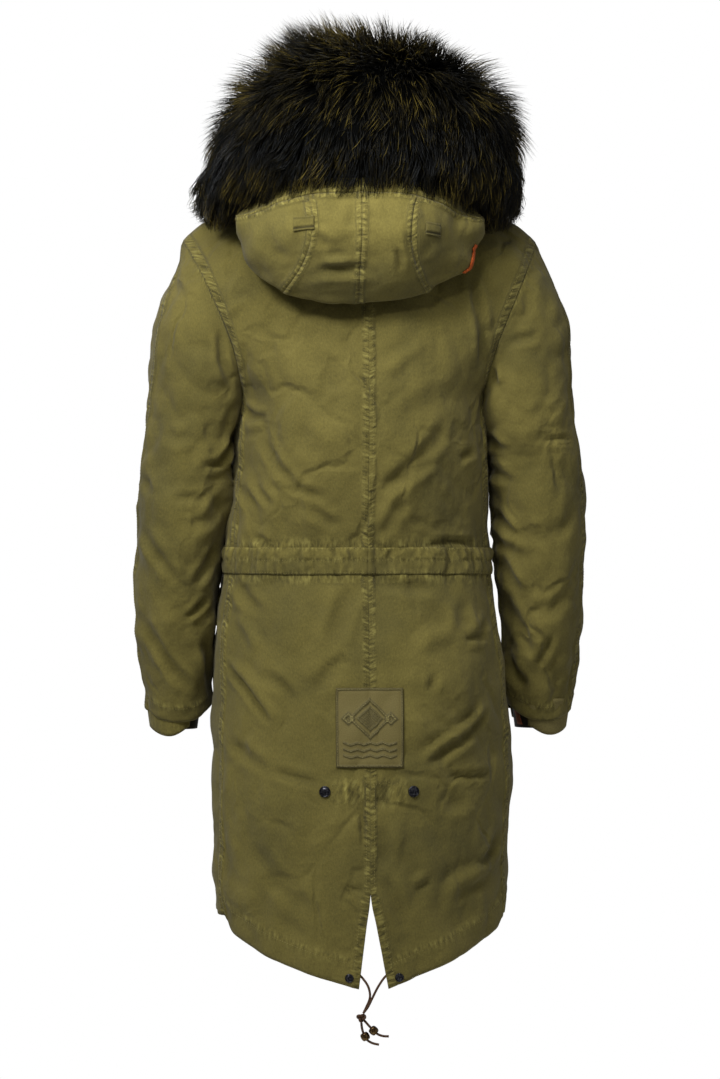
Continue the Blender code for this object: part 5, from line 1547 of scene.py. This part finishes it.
def pressSnap(name, seat, normal, size, node):
    profile = [(radius * size[0], height * size[1]) for radius, height in snapProfile]
    spunPiece(name, profile, 36, seat + normal * 0.0003, normal, gunmetal, node)


def makeBackSnaps():
    for name, x, z, size in backSnaps:
        hit, normal = lay(bodyBack, *fromBehind(x, z))
        place, word = name.split("_")
        pressSnap(f"snap_{name}", hit, normal, snaps[size], f"{place}_snap_{word}")


# cuffs; a turn is round the sleeve, 0 at its outer side and 0.5 at the body

# fold 0.9 lightens the left cuff band with painted light
cuff = {"topZ": -0.612, "bandDepth": 0.0028, "bandEnds": (-0.42, 0.335), "bandSwell": 0.0006, "fold": 0.9,
        "mask": 0.3, "rows": 10, "columns": 60, "liningDepth": 0.0072, "liningWall": 0.0012, "liningZ": -0.65,
        "liningEnds": (-0.4985, 0.4985), "snapZ": -0.634, "snapTurn": 0.41}
bandTurns = Table("turn z", [(-0.42, -0.638), (-0.25, -0.648), (0, -0.647), (0.25, -0.657), (0.335, -0.646)])
cuffStrip = {"turns": (0.385, 0.425), "slant": 0.035, "footZ": -0.646, "topZ": -0.618, "lift": 0.0016,
             "wall": 0.0012}


def cuffPoint(z, turn, depth, side):
    ring = sleeveRing(z, turn, side)
    middle = (sleeveRing(z, 0.0, side) + sleeveRing(z, 0.5, side)) / 2
    return mirrored(np.array(ring - (ring - middle).normalized() * depth), side)


def cuffRing(name, ends, foot, depth, wall, side, material, node, rests, swell=0.0):
    def place(row, column):
        turn = mix(*ends, column)
        return cuffPoint(mix(foot(turn), cuff["topZ"], row), turn, depth - swell * sin(pi * row), side)

    points = gridOf(cuff["rows"], cuff["columns"], place)
    clothPiece(name, points, side, wall, [material, liningCloth], [node], ("folded", rests, 0.008),
               cuff["mask"], points[..., [0, 2, 1]], cuff["fold"])
    return points


def makeCuffs():
    for side, word in hands:
        outside = shellCloth if side > 0 else bindingCloth
        cuffRing(f"cuff_{word}", cuff["bandEnds"], lambda turn: bandTurns.at(turn, "z"), cuff["bandDepth"],
                 trim["wall"], side, outside, f"cuff_band_{word}",
                 [f"cloth_sleeve_back_{word}", f"cloth_sleeve_front_{word}"], cuff["bandSwell"])
        points = cuffRing(f"cuff_inside_{word}", cuff["liningEnds"], lambda turn: cuff["liningZ"],
                          cuff["liningDepth"], cuff["liningWall"], side, liningCloth, f"cuff_lining_{word}",
                          [f"cuff_{word}"])
        panels[f"cuffInside_{word}"] = {"points": points}
    start, inside = (Vector(cuffPoint(cuff["snapZ"], cuff["snapTurn"], depth, 1)) for depth in (0.0, 0.02))
    hit, normal = lay(("cuffInside_left",), start, inside - start)
    pressSnap("snap_cuff_left", hit, normal, snaps["cuff"], "cuff_snap_left")

    def strip(row, column):
        turn = mix(*cuffStrip["turns"], column) + cuffStrip["slant"] * row
        z = mix(cuffStrip["footZ"], cuffStrip["topZ"], row)
        return cuffPoint(z, turn, cuff["liningDepth"] - cuffStrip["lift"], -1)

    clothPiece("cuff_pull", gridOf(8, 6, strip), -1, cuffStrip["wall"], [leather], ["cuff_strip_right"],
               ("laid", ["cuff_inside_right"], 0.004))


# drawstring

cords = {"diameter": 0.003, "spacing": 0.0012, "knot": (0.0114, 0.166, -0.9988), "knotAcross": 0.00165,
         "knotDeep": 0.003, "knotTall": 0.00145, "knotCord": 0.00165, "bead": (0.0036, 0.002, 2.35)}
cordRoutes = {
    "cord_left": [(0.0124, 0.159, -0.9476), (0.0108, 0.1594, -0.949), (0.0082, 0.16, -0.952),
                  (0.0025, 0.162, -0.961), (0.0005, 0.164, -0.9735), (0.0052, 0.1645, -0.986),
                  (0.0085, 0.1645, -0.9928)],
    "cord_right": [(-0.0208, 0.159, -0.9472), (-0.0187, 0.1594, -0.949), (-0.0157, 0.1605, -0.9525),
                   (-0.0094, 0.165, -0.961), (-0.0015, 0.17, -0.975), (0.0035, 0.17, -0.985),
                   (0.0092, 0.1685, -0.993)],
    "tail_left": [(0.0094, 0.166, -1.0004), (0.007, 0.166, -1.003), (0.0016, 0.166, -1.0092),
                  (-0.0038, 0.166, -1.0148), (-0.0092, 0.166, -1.0194), (-0.016, 0.1655, -1.0218),
                  (-0.0227, 0.165, -1.0222)],
    "tail_right": [(0.0112, 0.164, -1.0052), (0.0106, 0.164, -1.011), (0.009, 0.164, -1.0172),
                   (0.0065, 0.164, -1.0222), (0.0038, 0.164, -1.0266), (-0.0025, 0.164, -1.0305),
                   (-0.0106, 0.164, -1.0325)],
}
beadPlaces = {"left": ((-0.0038, 0.166, -1.0148), (-0.74, 0.0, -0.67)),
              "right": ((0.0065, 0.164, -1.0222), (-0.49, 0.0, -0.87))}


def makeCord(name, stops):
    run = runOf(np.array(stops))
    path = Table("s x y z", [(at, *stop) for at, stop in zip(run, stops)])
    count = round(run[-1] / cords["spacing"])
    places = np.array([path.point(run[-1] * k / count) for k in range(count + 1)])
    data = bpy.data.curves.new(name, "CURVE")
    data.dimensions = "3D"
    line = data.splines.new("POLY")
    line.points.add(count)
    for point, place in zip(line.points, places):
        point.co = (*place, 1.0)
    data.bevel_depth = cords["diameter"] / 2
    data.bevel_resolution = 4
    data.use_fill_caps = True
    return addPiece(name + "_run", data, [cordLeather], [name]), float(runOf(places)[-1])


def makeKnot():  # a trefoil of the cord drawn tight
    turns = np.linspace(0, 2 * pi, 97)[:-1]
    line = np.stack(((np.sin(turns) + 2 * np.sin(2 * turns)) * cords["knotAcross"],
                     -np.sin(3 * turns) * cords["knotDeep"],
                     (np.cos(turns) - 2 * np.cos(2 * turns)) * cords["knotTall"]), axis=1)
    line = line + np.array(cords["knot"])
    ahead = unit(np.roll(line, -1, axis=0) - np.roll(line, 1, axis=0))
    side = unit(np.cross(ahead, (0.0, 1.0, 0.2)))
    up = np.cross(side, ahead)
    around = np.linspace(0, 2 * pi, 13)[:-1]
    rings = (line[:, None] + (side[:, None] * np.cos(around)[None, :, None]
                              + up[:, None] * np.sin(around)[None, :, None]) * cords["knotCord"])
    count, sides = rings.shape[:2]
    mesh = bmesh.new()
    verts = [[mesh.verts.new(p) for p in ring] for ring in rings]
    for k in range(count):
        for s in range(sides):
            after, beside = (k + 1) % count, (s + 1) % sides
            mesh.faces.new((verts[k][s], verts[k][beside], verts[after][beside], verts[after][s]))
    bmesh.ops.recalc_face_normals(mesh, faces=mesh.faces[:])
    addPiece("drawstring_knot", meshFrom(mesh, "drawstring_knot"), [cordLeather], ["cord_knot"])


def makeDrawstring():
    made = {name: makeCord(name, stops) for name, stops in cordRoutes.items()}
    radius, thick, tall = cords["bead"]
    ring = [(radius + thick * cos(a), thick * tall * sin(a)) for a in np.linspace(0, 2 * pi, 19)]
    for word, (place, axis) in beadPlaces.items():
        axis = Vector(axis).normalized()
        spunPiece(f"brass_bead_{word}", ring, 32, place, axis, brass, f"bead_{word}")
    makeKnot()
    for side, word in hands:
        for kind, farEnd, pieces in (("cord", "knot", ["drawstring_knot"] if side > 0 else []),
                                     ("tail", "bare", [f"brass_bead_{word}"])):
            piece, length = made[f"{kind}_{word}"]


# stitching

sewing = {"pitch": 0.0036, "length": 0.0027, "width": 0.00075, "height": 0.00045, "sunk": 0.0003}
stitched = {"body": [], "sleeves": [], "hood": [], "trim": []}
seamRows = {"slit": 0.0095, "armhole": (0.003, 0.0105), "hem": 0.0285, "cuff": 0.019, "hood": 0.0042}


def stitchLine(line, normals, region, skip=0.004):
    run = runOf(line)
    count = int((run[-1] - 2 * skip) / sewing["pitch"])
    if count < 2 or run[-1] < 3 * sewing["pitch"]:
        return
    at = skip + (np.arange(count) + 0.5) * sewing["pitch"]
    half = sewing["length"] / 2
    behind, middle, ahead = (readAlong(line, at + shift, run) for shift in (-half, 0.0, half))
    out = unit(readAlong(normals, at, run))
    side = unit(np.cross(ahead - behind, out)) * sewing["width"] / 2
    top, under = middle + out * sewing["height"], middle - out * sewing["sunk"]
    stitched[region].append(np.stack((behind, middle + side, ahead, middle - side, top, under), axis=1))


def stitchGrid(points, normals, inset, region):  # once round a grid, this many cells in from its edges
    rows, columns = points.shape[0] - 1 - inset, points.shape[1] - 1 - inset
    for index in ((inset, slice(inset, columns + 1)), (rows, slice(inset, columns + 1)),
                  (slice(inset, rows + 1), inset), (slice(inset, rows + 1), columns)):
        stitchLine(points[index], normals[index], region, 0.001)


def stitchSeam(panel, edge, distance, region, rows=slice(None)):
    points, normals = fromEdge(panel["points"], edge)[rows], fromEdge(panel["normals"], edge)[rows]
    line = [readAlong(places, [distance])[0] for places in points]
    out = [readAlong(outs, [distance], runOf(places))[0] for places, outs in zip(points, normals)]
    stitchLine(np.array(line), unit(np.array(out)), region)


def stitchOnBack(places):
    hits = [lay(bodyBack, *fromBehind(x, z)) for x, z in places]
    stitchLine(np.array([hit for hit, _ in hits]), np.array([normal for _, normal in hits]), "body", 0.001)


def stitchSeams():
    band = shell["seamBand"] - 0.001
    for side, word in hands:
        back = panels[f"back_{word}"]
        stitchSeam(back, "first", band, "body", slice(slitAt, None))
        stitchSeam(back, "first", seamRows["slit"], "body", slice(0, slitAt + 1))
        for panel in (back, panels[f"front_{word}"]):
            stitchSeam(panel, "last", band, "body", slice(0, armpitAt))
            for distance in seamRows["armhole"]:
                stitchSeam(panel, "last", distance, "body", slice(armpitAt, None))
            stitchSeam(panel, "foot", seamRows["hem"], "body")
        for half, outer in (("back", "first"), ("front", "last")):
            panel = panels[f"sleeve_{half}_{word}"]
            stitchSeam(panel, outer, band, "sleeves")
            stitchSeam(panel, "foot", seamRows["cuff"], "sleeves")
        for part, edge in (("centre", "first"), ("centre", "last"), ("side", "first"), ("brim", "foot")):
            stitchSeam(panels[f"hood_{part}_{word}"], edge, seamRows["hood"], "hood")
    height, often = tack["sway"]
    for z in tack["stitchZ"]:  # the tacked box between the two upper snaps
        stitchOnBack([(x, z + height * sin(x * often)) for x in np.linspace(*tack["stitchX"], 60)])
    for x in tack["stitchX"]:
        stitchOnBack([(x, z) for z in np.linspace(*tack["stitchZ"], 12)])


def buildStitches():  # each stitch is a slim eight sided bead of thread, its lower half sunk in the cloth
    faces = np.array([(0, 1, 4), (1, 2, 4), (2, 3, 4), (3, 0, 4), (1, 0, 5), (2, 1, 5), (3, 2, 5), (0, 3, 5)])
    for region, groups in stitched.items():
        verts = np.concatenate(groups)
        index = faces[None] + 6 * np.arange(len(verts))[:, None, None]
        data = bpy.data.meshes.new(f"stitches_{region}")
        data.from_pydata(verts.reshape(-1, 3).tolist(), [], index.reshape(-1, 3).tolist())
        mesh = bmesh.new()
        mesh.from_mesh(data)
        bmesh.ops.recalc_face_normals(mesh, faces=mesh.faces[:])
        bpy.data.meshes.remove(data)
        addPiece(f"stitches_{region}", meshFrom(mesh, f"stitches_{region}"), [thread])
        print("stage: stitches", region, len(verts))


# fur: guard hairs in clumps over a shorter underfur, on the ruff's skin

furCoat = {"root": 0.64, "skin": 0.7, "parting": (-0.045, 0.185), "clump": 26, "drawnIn": 0.46, "taper": 0.72,
           "cStep": 0.1, "turnStep": 4, "baseRows": 26, "baseSides": 28}
# rings are shares of a hair's length, rise is how far it stands up, wisp how far a few stray
hairs = {"under": {"lengths": (0.024, 0.04), "width": 0.0018, "rings": (0.0, 0.5), "rise": 0.6, "wisp": 0.0,
                   "paleShare": 0.08, "seed": 20},
         "guard": {"lengths": (0.042, 0.074), "width": 0.001, "rings": (0.0, 0.36, 0.7), "rise": 0.82,
                   "wisp": 0.009, "paleShare": 0.3, "seed": 60}}
# from and to along the ruff, what the half adds to the seeds, and how many hairs of each kind it has
furHalves = {"back": (0.0, 4.0, 0, {"under": 5200, "guard": 8600}),
             "front": (4.0, 8.0, 7, {"under": 2100, "guard": 3900})}


def ruffSkin(side):
    cs = np.linspace(0, 8, 1 + round(8 / furCoat["cStep"]))
    turns = np.linspace(-180, 180, 1 + round(360 / furCoat["turnStep"]))
    skin = np.array([[ruffPoint(c, turn, side) for turn in turns] for c in cs])
    return mirrored(skin, side), mirrored(np.array([ruffCentre(c, side) for c in cs]), side)


def readSkin(grid, c, turn):  # places on the ruff's skin, and the ruff's middle beside them
    skin, centre = grid
    i = np.clip(c / furCoat["cStep"], 0, len(skin) - 1.001)
    j = np.clip((turn + 180) / furCoat["turnStep"], 0, skin.shape[1] - 1.001)
    low, left = i.astype(int), j.astype(int)
    up, along = (i - low)[:, None], (j - left)[:, None]
    first, second = (mix(skin[low, column], skin[low + 1, column], up) for column in (left, left + 1))
    return mix(first, second, along), mix(centre[low], centre[low + 1], up)


def combed(places, out):  # which way the hair lies: away from the parting, and down
    x0, z0 = furCoat["parting"]
    behind = smooth((places[:, 1] + 0.02) / 0.08)[:, None]
    away = np.stack((places[:, 0] - x0, 0.1 * np.sign(places[:, 1] - 0.05), (places[:, 2] - z0) * 2.6 - 0.05),
                    axis=1)
    front = np.stack((places[:, 0] * 0.6, np.full(len(places), -0.02), np.full(len(places), -0.1)), axis=1)
    flow = mix(unit(front), unit(away), behind)
    hangs = 0.55 * np.clip(-out[:, 2:] - 0.1, 0.0, 0.9)
    return unit(flow - out * np.sum(flow * out, axis=1, keepdims=True) * (1 - hangs))


def strands(grid, count, low, high, hair, seed):
    dice = np.random.default_rng(seed)
    c = dice.uniform(low, high, count)
    outer, middle = readSkin(grid, c, dice.uniform(-180, 180, count))
    out = unit(outer - middle)
    flow = combed(outer, out)
    clumps = count // furCoat["clump"]
    clumpPlace = outer[dice.integers(0, count, clumps)]
    near = np.argmin(((outer[:, None] - clumpPlace[None]) ** 2).sum(-1), axis=1)
    clumpTurn = dice.normal(0, 0.26, clumps)[near]
    clumpLength = dice.uniform(0.78, 1.18, clumps)[near]
    clumpRise = dice.uniform(-0.2, 0.25, clumps)[near]
    turned = np.cross(out, flow) * (clumpTurn + dice.normal(0, 0.1, count))[:, None]
    flow = unit(flow + turned + dice.normal(0, 0.04, (count, 3)))
    length = dice.uniform(*hair["lengths"], count) * clumpLength
    depth = np.linalg.norm(outer - middle, axis=1)
    below = np.clip(-out[:, 2] - 0.15, 0.0, 0.85)
    share = dice.uniform(furCoat["root"] - 0.06, furCoat["root"] + 0.1, count) + 0.24 * below
    root = middle + (outer - middle) * share[:, None]
    reach = depth * (1 - furCoat["root"])
    top = hair["rise"] + clumpRise + dice.uniform(-0.25, 0.25, count)
    lifted = np.minimum(reach * top, reach + dice.uniform(0, 1, count) ** 5 * hair["wisp"]) + 0.008 * below
    tip = root + out * lifted[:, None] + flow * (length * 0.92)[:, None]
    tip += (clumpPlace[near] - outer) * furCoat["drawnIn"]
    knee = root + out * (lifted * 0.95)[:, None] + flow * (length * 0.3)[:, None]
    for point in (tip, knee):  # hairs that would run far out of the ruff are drawn back to its skin
        for _ in range(2):
            away = point - middle
            far = np.linalg.norm(away, axis=1)
            stray = hair["wisp"] * dice.uniform(0.0, 1.0, count) ** 3
            limit = depth * 0.98 + stray + length * 0.27 + 0.02 * below
            point -= away * (np.maximum(far - limit, 0) / np.maximum(far, 1e-6))[:, None]
    pale = dice.uniform(0, 1, count) < hair["paleShare"]
    tone = np.where(pale, dice.uniform(0.45, 1.0, count), dice.uniform(0.0, 0.16, count))
    patch = np.array([noise.noise(Vector(p) * 22) for p in outer])
    tone *= np.clip(0.65 + patch * 1.6, 0.1, 1.2)
    thick = hair["width"] * dice.uniform(0.7, 1.25, count)
    return hairMesh(root, knee, tip, out, thick, tone, hair["rings"])


def hairMesh(root, knee, tip, out, thick, tone, rings):  # each hair is a bent three sided spike
    verts = []
    for t in rings:
        place = root * (1 - t) ** 2 + knee * 2 * t * (1 - t) + tip * t * t
        ahead = unit((knee - root) * (1 - t) + (tip - knee) * t)
        one = unit(np.cross(ahead, out) + 1e-4)
        two = np.cross(ahead, one)
        radius = (thick * 0.5 * (1 - furCoat["taper"] * t))[:, None]
        for angle in (0, 2 * pi / 3, 4 * pi / 3):
            verts.append(place + (one * cos(angle) + two * sin(angle)) * radius)
    verts = np.stack(verts + [tip], axis=1)
    end = 3 * (len(rings) - 1)
    faces = [face for start in range(0, end, 3) for a, b in ((0, 1), (1, 2), (2, 0))
             for face in ((start + a, start + b, start + b + 3), (start + a, start + b + 3, start + a + 3))]
    faces += [(end, end + 1, end + 3), (end + 1, end + 2, end + 3), (end + 2, end, end + 3), (2, 1, 0)]
    count, each = verts.shape[:2]
    index = np.array(faces)[None] + each * np.arange(count)[:, None, None]
    along = np.append(np.repeat(rings, 3), 1.0)
    return verts.reshape(-1, 3), index.reshape(-1, 3), np.repeat(tone, each), np.tile(along, count)


def furBase(grid, low, high, side):  # the lumpy skin under the hair, closed at both ends
    count, sides = furCoat["baseRows"], furCoat["baseSides"]
    c = np.repeat(np.linspace(low, high, count + 1), sides)
    turn = np.tile(np.linspace(-180, 180, sides + 1)[:-1], count + 1)
    outer, middle = readSkin(grid, c, turn)
    lumps = np.array([noise.noise(Vector(p) * 45) for p in outer])
    under = np.clip(-unit(outer - middle)[:, 2] - 0.2, 0.0, 0.8) / 0.8
    verts = middle + (outer - middle) * (furCoat["skin"] + 0.05 * lumps + 0.2 * under)[:, None]
    faces, start = [], len(verts)
    for s in range(sides):
        after = (s + 1) % sides
        for r in range(0, start - sides, sides):
            faces += [(r + s, r + after, r + after + sides), (r + s, r + after + sides, r + s + sides)]
        faces += [(start, after, s), (start + 1, start - sides + s, start - sides + after)]
    verts = np.concatenate((verts, [verts[:sides].mean(0), verts[-sides:].mean(0)]))
    return verts, np.array(faces)[:, ::-side], np.zeros(len(verts)), np.zeros(len(verts))


def makeFurPieces():
    for side, word in hands:
        grid = ruffSkin(side)
        for half, (low, high, seed, counts) in furHalves.items():
            parts = [furBase(grid, low, high, side)]
            parts += [strands(grid, counts[kind], low, high, hair, hair["seed"] + seed + side * 3)
                      for kind, hair in hairs.items()]
            starts = np.cumsum([0] + [len(part[0]) for part in parts])
            verts, tones, alongs = (np.concatenate([part[k] for part in parts]) for k in (0, 2, 3))
            faces = np.concatenate([part[1] + start for part, start in zip(parts, starts)])
            name = f"fur_{half}_{word}"
            data = bpy.data.meshes.new(name)
            data.from_pydata(verts.tolist(), [], faces.tolist())
            isHair = (np.arange(len(faces)) >= len(parts[0][1])).astype(np.int32)
            data.polygons.foreach_set("material_index", isHair)
            data.shade_smooth()
            for key, values in (("tone", tones), ("along", alongs)):
                data.attributes.new(key, "FLOAT", "POINT").data.foreach_set("value", values.astype(np.float32))
            addPiece(name, data, [furSkin, furHair], [f"ruff_{half}_{word}"])
            print("stage: fur", name, len(faces), "triangles")


# light and floor

light = {"ambient": 0.22, "beam": 32.0, "beamAngle": 15.0, "beamBlend": 0.9, "beamSoftness": 0.1,
         "beamPlace": (0.35, 1.75, 0.72), "beamAim": (0.005, 0.14, -0.055), "floorRadius": 1.25, "floorZ": -1.45}
# place, aim, width and height, and power of each lamp
lamps = {"key": ((1.0, 1.4, 0.8), (0.0, 0.0, -0.3), (0.4, 0.4), 27.0),
         "fill": ((-2.8, 2.4, 0.2), (0.0, 0.0, -0.5), (2.0, 2.4), 5.0),
         "top": ((0.2, 1.2, 1.2), (0.0, 0.0, -0.1), (0.8, 0.8), 17.5),
         "front": ((0.6, -3.0, 0.8), (0.0, 0.0, -0.45), (2.2, 2.2), 36.0)}


def standLamp(name, kind, place, aim, power):
    data = bpy.data.lights.new(name, kind)
    data.energy = power
    lamp = inScene(name, data)
    lamp.location = place
    lamp.rotation_euler = (Vector(place) - Vector(aim)).to_track_quat("Z", "Y").to_euler()
    return data


def makeWorld():  # white behind the piece, but only a little light from it
    world = bpy.data.worlds.new("studio")
    world.use_nodes = True
    tree = world.node_tree
    tree.nodes.clear()
    seen, felt, blend, path, out = (tree.nodes.new(f"ShaderNode{kind}") for kind in (
        "Background", "Background", "MixShader", "LightPath", "OutputWorld"))
    for shade, strength in ((seen, 1.0), (felt, light["ambient"])):
        shade.inputs["Strength"].default_value = strength
        shade.inputs["Color"].default_value = (1.0, 1.0, 1.0, 1.0)
    for source, target in ((path.outputs["Is Camera Ray"], blend.inputs[0]), (felt.outputs[0], blend.inputs[1]),
                           (seen.outputs[0], blend.inputs[2]), (blend.outputs[0], out.inputs[0])):
        tree.links.new(source, target)
    bpy.context.scene.world = world
    bpy.context.scene.view_settings.view_transform = "Standard"


def makeStudio():
    for name, (place, aim, size, power) in lamps.items():
        data = standLamp(name, "AREA", place, aim, power)
        data.shape = "RECTANGLE"
        data.size, data.size_y = size
    beam = standLamp("hood", "SPOT", light["beamPlace"], light["beamAim"], light["beam"])  # lifts the hood alone
    beam.spot_size = radians(light["beamAngle"])
    beam.spot_blend = light["beamBlend"]
    beam.shadow_soft_size = light["beamSoftness"]
    makeWorld()
    mesh = bmesh.new()
    bmesh.ops.create_circle(mesh, cap_ends=True, radius=light["floorRadius"], segments=96)
    bmesh.ops.translate(mesh, verts=mesh.verts[:], vec=(0.0, 0.0, light["floorZ"]))
    data = meshFrom(mesh, "floor", soft=False)
    data.materials.append(finished(newMaterial("matt white painted floor"),
                                   {"Base Color": hexColour("#e8e8e5"), "Roughness": 0.7}))
    inScene("floor", data)


# everything in order

makeBody()
makeSleeves()
makeHood()
for panel in panels.values():  # again, now that the seams are joined
    panel["normals"] = normalsOf(panel["points"], panel["facing"])
print("stage: cloth shaped")
buildPanels()
makeChannel()
makeBadge()
makeFlaps()
makeFly()
makeHoodTrim()
makeBackSnaps()
makeCuffs()
makeDrawstring()
print("stage: trims made")
stitchSeams()
buildStitches()
makeFurPieces()
makeStudio()
